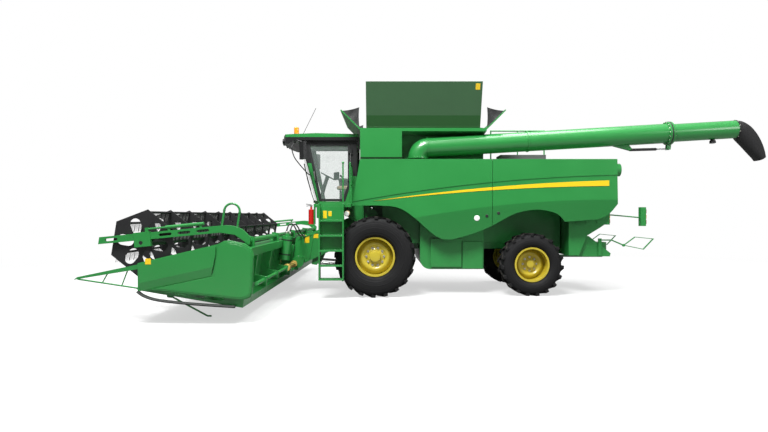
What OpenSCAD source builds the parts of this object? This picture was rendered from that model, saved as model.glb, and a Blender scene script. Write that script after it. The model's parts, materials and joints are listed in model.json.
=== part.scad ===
/* [Wheels] */
// Distance from the front axle to the rear axle
wheelbase = 3800; // [3600:10:4000]
// Front tyre diameter over the lugs
front_tyre_d = 1930; // [1880:5:1960]
// Front tyre width
front_tyre_w = 780; // [700:5:800]
// Front rim diameter
front_rim_d = 900; // [860:5:940]
// Distance between the centres of the front tyres
front_track = 3080; // [3060:5:3140]
// Rear tyre diameter over the lugs
rear_tyre_d = 1520; // [1480:5:1540]
// Rear tyre width
rear_tyre_w = 540; // [500:5:560]
// Rear rim diameter
rear_rim_d = 790; // [760:5:820]
// Distance between the centres of the rear tyres
rear_track = 2800; // [2780:5:2860]
// Height of a tyre lug
lug_h = 45; // [30:1:55]

/* [Body] */
// Width over the closed side panels
body_w = 3240; // [3200:5:3300]
// Height of the top edge of the side panels
panel_top_z = 3320; // [3300:5:3330]
// Thickness of a side panel
panel_t = 45; // [30:1:60]
// Rear end of the side panels, behind the front axle
body_rear_x = 5880; // [5850:5:5950]

/* [Grain tank] */
// Height of the tank's side rims
tank_rim_z = 4090; // [4080:1:4110]
// Length of a side flap from hinge to tip
side_flap_l = 1100; // [1000:5:1120]
// Outward lean of the open side flaps
side_flap_lean = 21; // [15:1:30]
// Length of an end flap from hinge to tip
end_flap_l = 700; // [600:5:760]
// Outward lean of the open end flaps
end_flap_lean = 45; // [35:1:50]
// Thickness of the flaps
flap_t = 30; // [20:1:36]

/* [Cab] */
// Width of the cab over its posts
cab_w = 1840; // [1800:5:1880]
// Height of the cab floor
cab_floor_z = 2290; // [2280:1:2310]
// Height of the underside of the roof
cab_roof_z = 3850; // [3830:5:3870]

/* [Unloading auger] */
// Diameter of the unloading tube
unload_d = 480; // [440:5:490]
// Length of the unloading tube behind its elbow
unload_l = 7860; // [7600:10:8000]
// Upward slope of the unloading tube
unload_slope = 3.4; // [3:0.1:4]

/* [Header] */
// Cutting width over the end shields
header_w = 10670; // [10000:10:11200]
// How far the feeder house is raised above its working position
lift_deg = 9; // [8:0.5:10]
// Radius of the reel at its tine bars
reel_r = 560; // [520:5:570]
// Length of the reel tines
tine_l = 180; // [150:5:185]
// Radius of the intake auger over its flights
intake_r = 330; // [300:5:340]

/* [Hidden] */
$fn = 48;

green = [0.13, 0.42, 0.13];
yellow = [0.95, 0.78, 0.10];
black = [0.05, 0.05, 0.06];
grey = [0.45, 0.46, 0.46];

// Clearances
gap = 0.3;
eye_gap = 16;

// Wheels and axles
front_r = front_tyre_d / 2;
rear_r = rear_tyre_d / 2;
front_spindle_r = 110;
rear_spindle_r = 60;
kingpin_r = 45;
kingpin_y = rear_track / 2 - 320;
flange_h = 26;
bead_share = 0.36;
front_disc_h = 150;
rear_disc_h = -40;
disc_t = 28;
front_inner_y = front_track / 2 - front_tyre_w / 2;

// Body
side_y = body_w / 2;
panel_split_x = 2840;
hinge_r = 18;
hinge_drop = 20;
hinge_inset = 30;
hinge_z = panel_top_z - hinge_drop;
hinge_y = side_y - panel_t - hinge_inset;
bracket_r = 26;
tank_front_x = -370;
tank_rear_x = 2720;
tank_y = 1500;
tank_floor_z = 2420;
recess_x = 650;
recess_y = 1000;
recess_z = 3300;
body_y = 1480;
sponson_z = 2300;
shoe_y = 1230;
shoe_low_z = 620;
shoe_corner = 240;
shoe_front_x = front_r + 145;
shoe_rear_x = wheelbase - rear_r - 350;
wall = 30;
side_hinge_r = 20;
side_hinge_z = tank_rim_z + gap + side_hinge_r;
end_wall_z = tank_rim_z - 60;
end_hinge_z = end_wall_z + gap + side_hinge_r;

// Cab
cab_y = cab_w / 2;
cab_post = 60;
door_t = 40;
door_front_x = -1500;
door_rear_x = -640;
door_low_z = cab_floor_z + 20;
door_high_z = cab_roof_z - 60;

// Unloading auger
elbow_x = 1050;
elbow_y = -1280;
elbow_z = 3620;
elbow_base_z = panel_top_z + 28;
outer_tube_r = unload_d / 2 - 20;
fold_share = 0.79;
spout_w = 400;
unload_r = unload_d / 2;
// The elbow bends into the sloping tube at bend_l along its axis
bend_r = unload_r + 20;
bend_l = bend_r * (1 - sin(unload_slope)) / cos(unload_slope);
bend_z = elbow_z + bend_l * sin(unload_slope) - bend_r * cos(unload_slope);
flange_t = 36;
flange_places = [bend_l - flange_t / 2, 2690];
spout_l = 700;

// Header, in the level working position
pivot_x = -350;
pivot_z = 1850;
feeder_y = 700;
pin_r = 60;
face_x = -1960;
end_y = header_w / 2;
end_t = 110;
tip_x = -5118;
tip_z = 30;
reel_x = -4070;
reel_z = 860;
reel_half = end_y - end_t - 125;
arm_pivot_x = -2190;
arm_pivot_z = 1200;
arm_y = reel_half + 45;
arm_t = 50;
arm_slope = 14.5;
intake_x = -2760;
intake_z = 420;
shaft_x = -1880;
shaft_z = 470;
stand_x = -3450;
stand_z = -26;
stand_y = end_y - 335;
arm_bracket_y = end_y - 435;
strut_first_y = 1900;
strut_last_y = end_y - 735;
lift_base_x = -250;
lift_base_z = 640;
lift_eye_x = -1400;
lift_eye_z = 560;
lift_y = 560;

// Middle of the overall length, so that the origin lies under the middle of the part
function lifted_x(x, z) = pivot_x + (x - pivot_x) * cos(lift_deg) + (z - pivot_z) * sin(lift_deg);
function lifted_z(x, z) = pivot_z - (x - pivot_x) * sin(lift_deg) + (z - pivot_z) * cos(lift_deg);
front_end_x = lifted_x(tip_x, tip_z);
tube_end_x = elbow_x + unload_l * cos(unload_slope);
tube_end_z = elbow_z + unload_l * sin(unload_slope);
rear_end_x = tube_end_x + spout_l;
middle_x = (front_end_x + rear_end_x) / 2;

// Shared shapes
module place() { translate([-middle_x, 0, 0]) children(); }

module both_sides() {
  children();
  mirror([0, 1, 0]) children();
}

module box(x0, x1, y0, y1, z0, z1) { translate([x0, y0, z0]) cube([x1 - x0, y1 - y0, z1 - z0]); }

module side_profile(points, y0, y1) {
  translate([0, y1, 0]) rotate([90, 0, 0]) linear_extrude(y1 - y0) polygon(points);
}

module end_profile(points, x0, x1) {
  translate([x0, 0, 0]) rotate([90, 0, 90]) linear_extrude(x1 - x0) polygon(points);
}

module rod(p, q, r) {
  v = q - p;
  translate(p) rotate([0, acos(v.z / norm(v)), atan2(v.y, v.x)]) cylinder(h = norm(v), r = r);
}

module rail(points, r) {
  for (i = [0 : len(points) - 2]) rod(points[i], points[i + 1], r);
  for (i = [1 : len(points) - 2]) translate(points[i]) sphere(r = r * 1.1, $fn = 24);
}

module along_y(x, y0, y1, z, r) { translate([x, y1, z]) rotate([90, 0, 0]) cylinder(h = y1 - y0, r = r); }

module along_x(x0, x1, y, z, r) { translate([x0, y, z]) rotate([0, 90, 0]) cylinder(h = x1 - x0, r = r); }

// Points of a smooth curve through the given ones
function between(a, b, c, d, t) =
  0.5 * (2 * b + (c - a) * t + (2 * a - 5 * b + 4 * c - d) * t * t + (3 * b - a - 3 * c + d) * t * t * t);
function smooth(p, steps) = concat(
  [for (i = [0 : len(p) - 2], k = [0 : steps - 1])
    between(p[max(i - 1, 0)], p[i], p[i + 1], p[min(i + 2, len(p) - 1)], k / steps)],
  [p[len(p) - 1]]);

module slot(l, r) {
  translate([-l / 2, 0]) circle(r = r);
  translate([l / 2, 0]) circle(r = r);
  translate([-l / 2, -r]) square([l, 2 * r]);
}

module lifted() {
  translate([pivot_x, 0, pivot_z]) rotate([0, lift_deg, 0]) translate([-pivot_x, 0, -pivot_z]) children();
}

// Tyres and rims, with the axle along Z and the outer side up
module tyre(d, w, rim_d, lugs, lug_w, slant) {
  r = d / 2;
  rc = r - lug_h;
  rb = rim_d / 2 + gap;
  bead = w * bead_share;
  wall_curve = smooth([[rb + flange_h + 4, bead], [rb + 80, w * 0.46], [(rb + rc) / 2, w / 2],
    [rc - 80, w * 0.475], [rc - 20, w * 0.42], [rc, w * 0.32]], 2);
  half = concat([[rb, bead]], wall_curve);
  outline = concat(half, [for (i = [len(half) - 1 : -1 : 0]) [half[i].x, -half[i].y]]);
  // A lug runs steeply from the middle of the tread, then bends towards the shoulder
  bend = slant * 0.66;
  color(black) union() {
    rotate_extrude($fn = 96) polygon(outline);
    intersection() {
      cylinder(h = w, r = r, center = true, $fn = 96);
      for (side = [-1, 1], i = [0 : lugs - 1])
        rotate([0, 0, (i + side / 4) * 360 / lugs])
          end_profile([[-lug_w / 2, -side * 15], [lug_w / 2, -side * 15], [lug_w / 2 + bend, side * w * 0.25],
            [lug_w * 0.6 + slant, side * w * 0.48], [slant - lug_w * 0.6, side * w * 0.48],
            [bend - lug_w / 2, side * w * 0.27]], rc - 40, r + 40);
    }
  }
}

module rim(rim_d, w, disc_h, bore_r, bolts, bolt_r) {
  ro = rim_d / 2;
  ri = ro - 18;
  bead = w * bead_share;
  // Outer face of the pressed disc: flat hub seat, sunk bolt ring, raised ring, then the fall to the well
  dish = concat([[bore_r, disc_h], [ri * 0.40, disc_h]], smooth([[ri * 0.46, disc_h - 14], [ri * 0.56, disc_h - 14],
    [ri * 0.66, disc_h + 16], [ri * 0.78, disc_h + 12], [ri * 0.90, disc_h - 40], [ri + 5, disc_h - 80]], 2));
  color(yellow) difference() {
    union() {
      rotate_extrude($fn = 96)
        polygon([[ri, -bead - 22], [ro + flange_h, -bead - 22], [ro + flange_h, -bead - gap], [ro, -bead - gap],
          [ro, bead + gap], [ro + flange_h, bead + gap], [ro + flange_h, bead + 22], [ri, bead + 22]]);
      rotate_extrude($fn = 96)
        polygon(concat(dish, [for (i = [len(dish) - 1 : -1 : 0]) dish[i] - [0, disc_t]]));
    }
    for (i = [0 : bolts - 1]) rotate([0, 0, i * 360 / bolts]) translate([bolt_r, 0, disc_h - 60])
      cylinder(h = 80, r = 14, $fn = 24);
  }
}

module left_front() { translate([0, -front_track / 2, front_r]) rotate([90, 0, 0]) children(); }
module left_rear() { translate([wheelbase, -rear_track / 2, rear_r]) rotate([90, 0, 0]) children(); }
module right_side() { mirror([0, 1, 0]) children(); }

module front_tyre() { tyre(front_tyre_d, front_tyre_w, front_rim_d, 20, 75, 190); }
module front_rim() { rim(front_rim_d, front_tyre_w, front_disc_h, front_spindle_r + gap, 10, 210); }
module rear_tyre() { tyre(rear_tyre_d, rear_tyre_w, rear_rim_d, 19, 62, 130); }
module rear_rim() { rim(rear_rim_d, rear_tyre_w, rear_disc_h, rear_spindle_r + gap, 8, 160); }

// Frame and axles
axle_r = 130;
rail_y = 560;
rail_w = 100;
rail_low_z = front_r + axle_r + gap;
rail_h = 160;
ear_y = 775;
ear_t = 90;
hitch_x = 6020;
hitch_r = 16.5;
hitch_low_z = 840;
hitch_t = 60;
frame_rear_x = 4780;
body_low_z = rail_low_z + rail_h + gap;

module main_frame() {
  color(green) difference() {
    union() {
      for (s = [-1, 1]) {
        box(-60, frame_rear_x, s * rail_y - rail_w / 2, s * rail_y + rail_w / 2, rail_low_z, rail_low_z + rail_h);
        side_profile([[lift_base_x - 80, lift_base_z - 80], [-60, lift_base_z - 80], [160, 800], [160, 1300],
          [60, 1700], [60, 2050], [-250, 2230], [-1450, 2230], [-1450, 2130], [-560, 2080], [pivot_x - 130, 1950],
          [pivot_x - 130, 1700], [-260, 1300], [-260, 1000]], s * ear_y - ear_t / 2, s * ear_y + ear_t / 2);
        box(-60, 110, min(s * rail_y, s * ear_y), max(s * rail_y, s * ear_y), rail_low_z, rail_low_z + rail_h);
        along_y(lift_base_x, s * (ear_y + lift_y) / 2 - 160, s * (ear_y + lift_y) / 2 + 160, lift_base_z, 30);
      }
      for (x = [940, 2740, 4660]) box(x, x + 120, -rail_y, rail_y, rail_low_z, rail_low_z + rail_h);
      box(wheelbase - 120, wheelbase + 120, -rail_y, rail_y, rear_r + 120 + gap, rail_low_z + 40);
      box(4660, frame_rear_x, -200, 200, hitch_low_z, rail_low_z + 20);
      box(4660, hitch_x + 60, -60, 60, hitch_low_z, hitch_low_z + hitch_t);
    }
    along_y(pivot_x, -900, 900, pivot_z, pin_r + gap);
    along_y(0, -900, 900, front_r, axle_r + gap);
    translate([hitch_x, 0, hitch_low_z - 10]) cylinder(h = hitch_t + 20, r = hitch_r);
  }
}

module front_axle() {
  color(green) both_sides() {
    along_y(0, -1000, 1, front_r, axle_r);
    along_y(0, -1130, -960, front_r, 260);
    along_y(0, -(front_track / 2 + front_disc_h + 60), -1100, front_r, front_spindle_r);
    along_y(0, -(front_track / 2 + front_disc_h - 30), -1100, front_r, front_spindle_r + 30);
  }
}

module rear_axle() {
  color(green) both_sides() {
    box(wheelbase - 100, wheelbase + 100, -(kingpin_y - 90), 1, rear_r - 120, rear_r + 120);
    for (z = [rear_r - 160, rear_r + 100])
      translate([wheelbase, -kingpin_y, z]) cylinder(h = 60, r = 80);
    box(wheelbase - 70, wheelbase + 70, -kingpin_y, -(kingpin_y - 150), rear_r - 160, rear_r - 100);
    box(wheelbase - 70, wheelbase + 70, -kingpin_y, -(kingpin_y - 150), rear_r + 100, rear_r + 160);
    translate([wheelbase, -kingpin_y, rear_r - 160]) cylinder(h = 320, r = kingpin_r);
  }
}

module knuckle() {
  color(green) difference() {
    union() {
      translate([wheelbase, -kingpin_y, rear_r - 100 + gap]) cylinder(h = 200 - 2 * gap, r = 85);
      along_y(wheelbase, -(kingpin_y + 170), -kingpin_y, rear_r, 80);
      along_y(wheelbase, -(rear_track / 2 + rear_disc_h - 28 - gap), -(kingpin_y + 120), rear_r, 140);
      along_y(wheelbase, -(rear_track / 2 + rear_disc_h + 70), -(kingpin_y + 120), rear_r, rear_spindle_r);
    }
    translate([wheelbase, -kingpin_y, 0]) cylinder(h = 2 * rear_r, r = kingpin_r + gap);
  }
}

// Body
module threshing_body() {
  color(green) difference() {
    union() {
      box(-90, 171, -500, 500, body_low_z, sponson_z + 1);
      box(170, shoe_front_x + 20, -1000, 1000, body_low_z, sponson_z + 1);
      side_profile(concat([for (a = [180 : 15 : 270])
        [shoe_front_x + shoe_corner + shoe_corner * cos(a), shoe_low_z + shoe_corner + shoe_corner * sin(a)]],
        [[shoe_rear_x, shoe_low_z], [shoe_rear_x, sponson_z + 1], [shoe_front_x, sponson_z + 1]]), -shoe_y, shoe_y);
      box(shoe_rear_x - 10, frame_rear_x, -600, 600, body_low_z, sponson_z + 1);
      box(-350, 5700, -body_y, body_y, sponson_z, tank_floor_z - gap);
      box(tank_rear_x + gap, 5700, -body_y, body_y, sponson_z, 2700);
      for (s = [-1, 1]) {
        box(shoe_front_x + 260, shoe_rear_x - 560, s * (shoe_y + 25) - 35, s * (shoe_y + 25) + 35, shoe_low_z + 60,
          shoe_low_z + 760);
        box(shoe_rear_x - 530, shoe_rear_x - 30, s * (shoe_y + 20) - 30, s * (shoe_y + 20) + 30, shoe_low_z + 20,
          shoe_low_z + 680);
      }
    }
    for (s = [-1, 1])
      box(1000, 2780, s * rail_y - rail_w / 2 - gap, s * rail_y + rail_w / 2 + gap, rail_low_z - gap,
        body_low_z);
  }
}

module rear_hood() {
  color(green) {
    side_profile(concat([[4800, 960], [5050, 960]], smooth([[5250, 1450], [5480, 1590], [5650, 1700], [5770, 1800],
      [5820, 1960]], 2), [[5820, sponson_z - gap], [4800, sponson_z - gap]]), -1250, 1250);
    for (s = [-1, 1], x = [4980, 5230, 5480]) box(x, x + 40, s * 1250 - 14, s * 1250 + 14, 1760, sponson_z - gap);
    box(5700 + gap, 5850, -body_y, body_y, 2200, 3300);
    along_x(5840, 6100, -1130, 3090, 160);
  }
}

module grain_tank() {
  color(green) difference() {
    union() {
      box(tank_front_x, tank_rear_x, -tank_y, tank_y, tank_floor_z, tank_rim_z);
      for (s = [-1, 1], x = [-150, 480, 1500, 2500]) hinge_bracket(x, s, tank_y);
    }
    // Side of the tank that gives way to the unloading tube
    end_profile([[-tank_y - 1, recess_z], [-recess_y, recess_z], [-recess_y, 3960], [-tank_y + 60, 4010],
      [-tank_y - 1, 4010]], recess_x, tank_rear_x + 1);
    // Bin, narrowing to a trough at its floor
    end_profile([[-tank_y + wall, tank_rim_z + 1], [-tank_y + wall, recess_z], [-350, tank_floor_z + 60],
      [350, tank_floor_z + 60], [tank_y - wall, recess_z], [tank_y - wall, tank_rim_z + 1]],
      tank_front_x + wall, recess_x - wall);
    end_profile([[-tank_y + wall, tank_rim_z + 1], [-tank_y + wall, 4030], [-recess_y + wall, 3990],
      [-recess_y + wall, 2950], [-350, tank_floor_z + 60], [350, tank_floor_z + 60], [tank_y - wall, recess_z],
      [tank_y - wall, tank_rim_z + 1]], recess_x - wall - 1, tank_rear_x - wall);
    for (x = [tank_front_x - 1, tank_rear_x - wall - 5])
      box(x, x + wall + 6, -tank_y + wall, tank_y - wall, end_wall_z, tank_rim_z + 1);
    for (s = [-1, 1]) hinge_bores(s);
  }
  color(green) translate([elbow_x, elbow_y, recess_z]) cylinder(h = elbow_base_z - gap - recess_z, r = 160);
}

// Hinge of a side panel: rings on the body, a pin on the panel
module hinge_bracket(x, s, from_y) {
  box(x, x + 40, min(s * from_y, s * hinge_y) - (s < 0 ? 0 : 1), max(s * from_y, s * hinge_y) + (s < 0 ? 1 : 0),
    hinge_z - bracket_r, hinge_z + bracket_r - 6);
  along_x(x, x + 40, s * hinge_y, hinge_z, bracket_r);
}

module hinge_bores(s) { along_x(-1000, 7000, s * hinge_y, hinge_z, hinge_r + gap); }

// Handrail of the deck, clear of the open rear flap
deck_rail_x = tank_rear_x + end_flap_l * sin(end_flap_lean) + 90;

module engine_deck() {
  color(green) difference() {
    union() {
      difference() {
        box(tank_rear_x + 20, 5690, -tank_y, tank_y, 3230, 3290);
        box(3050, 4800, -650, 650, 3200, 3300);
      }
      for (s = [-1, 1], x = [tank_rear_x + 60, 4200, 5560])
        box(x, x + 80, s * 1430 - 40, s * 1430 + 40, 2700 + gap, 3240);
      for (s = [-1, 1], x = [2950, 4200, 5450]) hinge_bracket(x, s, tank_y);
    }
    for (s = [-1, 1]) hinge_bores(s);
  }
  color(green) rail([[deck_rail_x, 1150, 3280], [deck_rail_x, 1150, 4400], [4850, 1150, 4400], [4850, 1150, 3280]], 20);
  color(green) rail([[deck_rail_x, 1150, 3850], [4850, 1150, 3850]], 16);
  color(green) rod([(deck_rail_x + 4850) / 2, 1150, 3280], [(deck_rail_x + 4850) / 2, 1150, 4400], 16);
}

module engine() {
  color(grey) {
    box(3200, 4600, -480, 480, 2700 + gap, 3330);
    box(3300, 4500, -300, 300, 3320, 3560);
    along_x(3350, 4450, 380, 3480, 90);
  }
}

// Side panels
arch_front = smooth([[-560, 2190], [360, 2180], [790, 2020], [1330, 1560], [1540, 1415], [1705, 1372], [1955, 1393],
  [2453, 1541], [panel_split_x - 5, 1705]], 3);
arch_rear = concat(smooth([[panel_split_x + 5, 1708], [3070, 1834], [3420, 2010], [3868, 2095], [4224, 2056],
  [4446, 1967], [4600, 1800]], 3), smooth([[5380, 1855], [5646, 1967], [body_rear_x, 2233]], 3));

// The panels step in below a bowed crease, and lean in below a straight one
lip = 14;
crease_x = -50;
crease_z = 2375;
crease_l = 5875;
crease_rise = 559;
crease_bow = 110;
tuck_x = 1326;
tuck_z = 1964;
tuck_slope = 4.75;
tuck_lean = 0.025;
function crease(x) = let (t = (x - crease_x) / crease_l) [x, crease_z + crease_rise * t + 4 * crease_bow * t * (1 - t)];

module panel_plate(outline) {
  difference() {
    side_profile(outline, -side_y + lip, -side_y + panel_t);
    translate([tuck_x, -side_y + lip, tuck_z]) rotate([0, -tuck_slope, 0])
      end_profile([[-60, 0], [0, 0], [tuck_lean * 1000, -1000], [-60, -1000]], -2500, 6000);
  }
  intersection() {
    side_profile(outline, -side_y, -side_y + panel_t);
    side_profile(concat([for (i = [0 : 14]) crease(-700 + i * 500)], [[6300, 4000], [-700, 4000]]),
      -side_y - 1, -side_y + panel_t + 1);
  }
}

module panel_hinges(stations) {
  for (x = stations) {
    box(x - 70, x - 10, -side_y + panel_t - 1, -hinge_y, hinge_z - hinge_r + 2, hinge_z + hinge_r - 2);
    along_x(x - 70, x + 46, -hinge_y, hinge_z, hinge_r);
  }
}

module front_panel() {
  color(green) {
    panel_plate(concat(arch_front, [[panel_split_x - 5, panel_top_z], [-367, panel_top_z]]));
    panel_hinges([-150, 480, 1500, 2500]);
  }
}

module rear_panel() {
  color(green) {
    panel_plate(concat(arch_rear, [[body_rear_x - 20, panel_top_z], [panel_split_x + 5, panel_top_z]]));
    panel_hinges([2950, 4200, 5450]);
  }
}

// Grain tank flaps
module side_flap() {
  color(green) translate([0, -tank_y + wall / 2, side_hinge_z]) rotate([side_flap_lean, 0, 0]) {
    box(-220, 2560, -flap_t / 2, flap_t / 2, 0, side_flap_l);
    along_x(-220, 2560, 0, 0, side_hinge_r);
  }
}

module end_flap(x, s) {
  color(green) translate([x, 0, end_hinge_z]) rotate([0, s * end_flap_lean, 0]) {
    box(-flap_t / 2, flap_t / 2, -1430, 1430, 0, end_flap_l);
    along_y(0, -1430, 1430, 0, side_hinge_r);
  }
}

end_flap_front_x = tank_front_x + wall / 2;
end_flap_rear_x = tank_rear_x - wall / 2;

// Folding corner cloths between an end flap and the side flaps
module gussets(x, s) {
  face = flap_t / 2 + gap;
  color(black) translate([x, 0, end_hinge_z]) rotate([0, s * end_flap_lean, 0]) both_sides()
    side_profile([[-s * face, 60], [-s * face, end_flap_l * 0.94], [-s * end_flap_l * 0.53, end_flap_l * 0.61]],
      -1400, -1392);
}

// Cab
cab_rear_x = -480;
nose_x = -1622;
screen_r = 2416;
screen_lean = 15.5;
module cab_outer(inset) {
  intersection() {
    box(-2500, cab_rear_x - inset, -cab_y + inset, cab_y - inset, cab_floor_z - 60 + inset,
      cab_roof_z + (inset > 0 ? 1 : 0));
    translate([nose_x, 0, cab_floor_z - 60]) rotate([0, -screen_lean, 0])
      translate([screen_r, 0, -1000]) cylinder(h = 4000, r = screen_r - inset, $fn = 256);
  }
}

module door_outline(shrink) {
  side_profile([[door_front_x + 60 + shrink, door_low_z + shrink], [door_rear_x - 130 - shrink, door_low_z + shrink],
    [door_rear_x - shrink, door_low_z + 420], [door_rear_x - shrink, door_high_z - shrink],
    [door_front_x - 230 + shrink, door_high_z - shrink]], -cab_y - 50, -cab_y + 80);
}

module front_window(shrink) {
  intersection() {
    box(-3000, -900, -cab_y + 90 + shrink, cab_y - 90 - shrink, cab_floor_z + 40 + shrink, cab_roof_z - 90 - shrink);
    side_profile([[-2600, 2000], [-1390, 2000], [-1840, 3900], [-2600, 3900]], -2000, 2000);
  }
}

module rear_window(shrink) {
  box(-700, -300, -620 + shrink, 620 - shrink, 2950 + shrink, cab_roof_z - 110 - shrink);
}

module cab_shell() {
  color(black) difference() {
    cab_outer(0);
    cab_outer(cab_post);
    door_outline(0);
    right_side() door_outline(0);
    front_window(0);
    rear_window(0);
  }
  color(black) along_y_pins();
}

// Hinge pins of the cab door
door_pin_r = 12;
door_pin_x = door_rear_x + 28;
door_pin_y = cab_y + 22;
module along_y_pins() {
  for (z = [door_low_z + 520, door_high_z - 260]) {
    translate([door_pin_x, -door_pin_y, z]) cylinder(h = 120, r = door_pin_r);
    box(door_pin_x - 14, door_pin_x + 30, -door_pin_y - 14, -cab_y + 1, z - 30, z);
  }
}

module cab_pane() {
  difference() {
    cab_outer(20);
    cab_outer(30);
  }
}

module cab_glass() {
  color([0.6, 0.7, 0.7, 0.4]) {
    intersection() { cab_pane(); front_window(0.5); }
    intersection() { cab_pane(); right_side() door_outline(0.5); }
    intersection() { cab_pane(); rear_window(0.5); }
  }
}

module cab_roof() {
  color(green) intersection() {
    side_profile([[-2430, 3890], [-2380, 3790], [-2200, 3760], [-2080, cab_roof_z + gap], [-440, cab_roof_z + gap],
      [-430, 4010], [-1500, 4035], [-2380, 4000]], -1010, 1010);
    translate([0, 0, 3000]) linear_extrude(2000) intersection() {
      translate([620, 0]) circle(r = 3060, $fn = 128);
      translate([-3000, -1010]) square([3000, 2020]);
    }
  }
  color(yellow) translate([-2050, -650, 4000]) cylinder(h = 210, r = 60);
  color(black) rod([-1900, -700, 3990], [-1540, -700, 4720], 6);
}

module cab_seat() {
  color(grey) {
    box(-1000, -560, -260, 260, cab_floor_z + gap, cab_floor_z + 330);
    box(-1050, -560, -280, 280, cab_floor_z + 330, cab_floor_z + 480);
    box(-680, -560, -280, 280, cab_floor_z + 470, cab_floor_z + 1050);
  }
}

module cab_door() {
  color(black) difference() {
    union() {
      intersection() {
        door_outline(5);
        box(-3000, 0, -cab_y - 5, -cab_y + door_t, 0, 5000);
      }
      for (z = [door_low_z + 520, door_high_z - 260]) {
        translate([door_pin_x, -door_pin_y, z + 2]) cylinder(h = 90, r = 22);
        box(door_rear_x - 60, door_pin_x, -door_pin_y - 20, -cab_y - 5, z + 2, z + 92);
        box(door_rear_x - 60, door_rear_x - 10, -cab_y - 6, -cab_y + 5, z + 2, z + 92);
      }
    }
    difference() {
      door_outline(65);
      box(-3000, 0, -cab_y - 400, -cab_y - 5.5, 0, 5000);
    }
    for (z = [door_low_z + 520, door_high_z - 260])
      translate([door_pin_x, -door_pin_y, z - 20]) cylinder(h = 160, r = door_pin_r + gap);
  }
}

module cab_door_glass() {
  color([0.6, 0.7, 0.7, 0.4]) intersection() {
    door_outline(65.5);
    box(-3000, 0, -cab_y + 12, -cab_y + 20, 0, 5000);
  }
}

// Landing and ladder
ladder_front_x = -1310;
ladder_rear_x = -725;
ladder_pin_x = -1345;
ladder_pin_y = -1965;
ladder_pin_r = 20;
ladder_boss_r = 32;
landing_y = 1935;

module landing() {
  color(green) {
    box(-1330, -575, -landing_y, -ear_y - ear_t / 2 - gap, 2150, 2230 - gap);
    box(-1450, -1329, -landing_y, -1000, 2150, 2230 - gap);
    translate([ladder_pin_x, ladder_pin_y, 2150]) cylinder(h = 50, r = ladder_boss_r);
    box(ladder_pin_x - ladder_boss_r, ladder_pin_x + ladder_boss_r, ladder_pin_y, -landing_y + 1, 2150, 2200);
    translate([ladder_pin_x, ladder_pin_y, 1890]) cylinder(h = 270, r = ladder_pin_r);
    rail([[-595, -1060, 2200], [-595, -1060, 3200], [-595, -1900, 3200], [-595, -1900, 2200]], 17);
    rail([[-595, -1060, 2700], [-595, -1900, 2700]], 14);
    box(-1450, -1415, -1930, -1830, 1740, 2151);
  }
}

module fire_extinguisher() {
  color("red") {
    translate([-1450 - 64 - gap, -1880, 1745]) cylinder(h = 350, r = 64);
    translate([-1450 - 64 - gap, -1880, 2090]) cylinder(h = 60, r = 26);
  }
}

module ladder() {
  color(green) difference() {
    union() {
      for (x = [ladder_front_x, ladder_rear_x - 30]) box(x, x + 30, -2185, -1950, 440, 2230);
      for (z = [440, 760, 1110, 1460, 1810])
        box(ladder_front_x, ladder_rear_x, -2185, -1950, z, z + 40);
      for (z = [1150, 1500, 1850]) box(ladder_front_x, ladder_rear_x, -1970, -1950, z - 5, z + 320);
      translate([ladder_pin_x, ladder_pin_y, 1900]) cylinder(h = 248, r = ladder_boss_r);
      box(ladder_pin_x, ladder_front_x + 5, ladder_pin_y - 25, ladder_pin_y + 14, 1900, 2148);
    }
    translate([ladder_pin_x, ladder_pin_y, 1800]) cylinder(h = 500, r = ladder_pin_r + gap);
  }
  color(green) {
    rail([[ladder_rear_x - 15, -2165, 2220], [ladder_rear_x - 15, -2165, 3180]], 17);
    translate([ladder_rear_x - 15, -2165, 3180]) sphere(r = 30, $fn = 32);
  }
}

module mirrors() {
  color(black) both_sides() {
    box(-2075, -2025, -1000, -930, 3790, cab_roof_z);
    rail([[-2050, -985, 3815], [-1930, -1400, 3800], [-1775, -1455, 3750]], 16);
    translate([-1770, -1460, 3330]) rotate([0, 0, 35]) box(-40, 40, -110, 110, 0, 430);
  }
}

// Straw spreader and rear guards
module straw_spreader() {
  color(green) {
    side_profile([[5050 + gap, 930], [5860, 930], [5880, 1010], [5330, 1440], [5250 + gap, 1450], [5050 + gap, 960]],
      -1150, 1150);
    for (s = [-1, 1]) translate([5590, s * 560, 935]) cylinder(h = 330, r = 380);
  }
}

// Bent bar round a rear lamp
lamp_hoop = [[6190, 1210], [6470, 1417], [6930, 1372], [6680, 1110]];
hoop_mid = [6568, 1277];
module rear_guards() {
  color(green) both_sides() {
    rail([[5820 + gap, -1160, 1965], [5900, -1160, 1965], [6610, -1160, 1900]], 16);
    box(6600, 6730, -1230, -1090, 1690, 2160);
    side_profile([[5600, 1325], [5885, 1325], [6190, 1193], [6190, 1227], [5890, 1355], [5600, 1355]], -1194, -1166);
    difference() {
      side_profile([for (p = lamp_hoop) hoop_mid + (p - hoop_mid) * 1.05], -1196, -1164);
      side_profile([for (p = lamp_hoop) hoop_mid + (p - hoop_mid) * 0.93], -1300, -1100);
    }
    along_y(6190, -1198, -1162, 1210, 34);
    side_profile([[5560, 950], [5640, 950], [5640, 1380], [5560, 1380]], -1190, -1150 - gap);
  }
}

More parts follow.
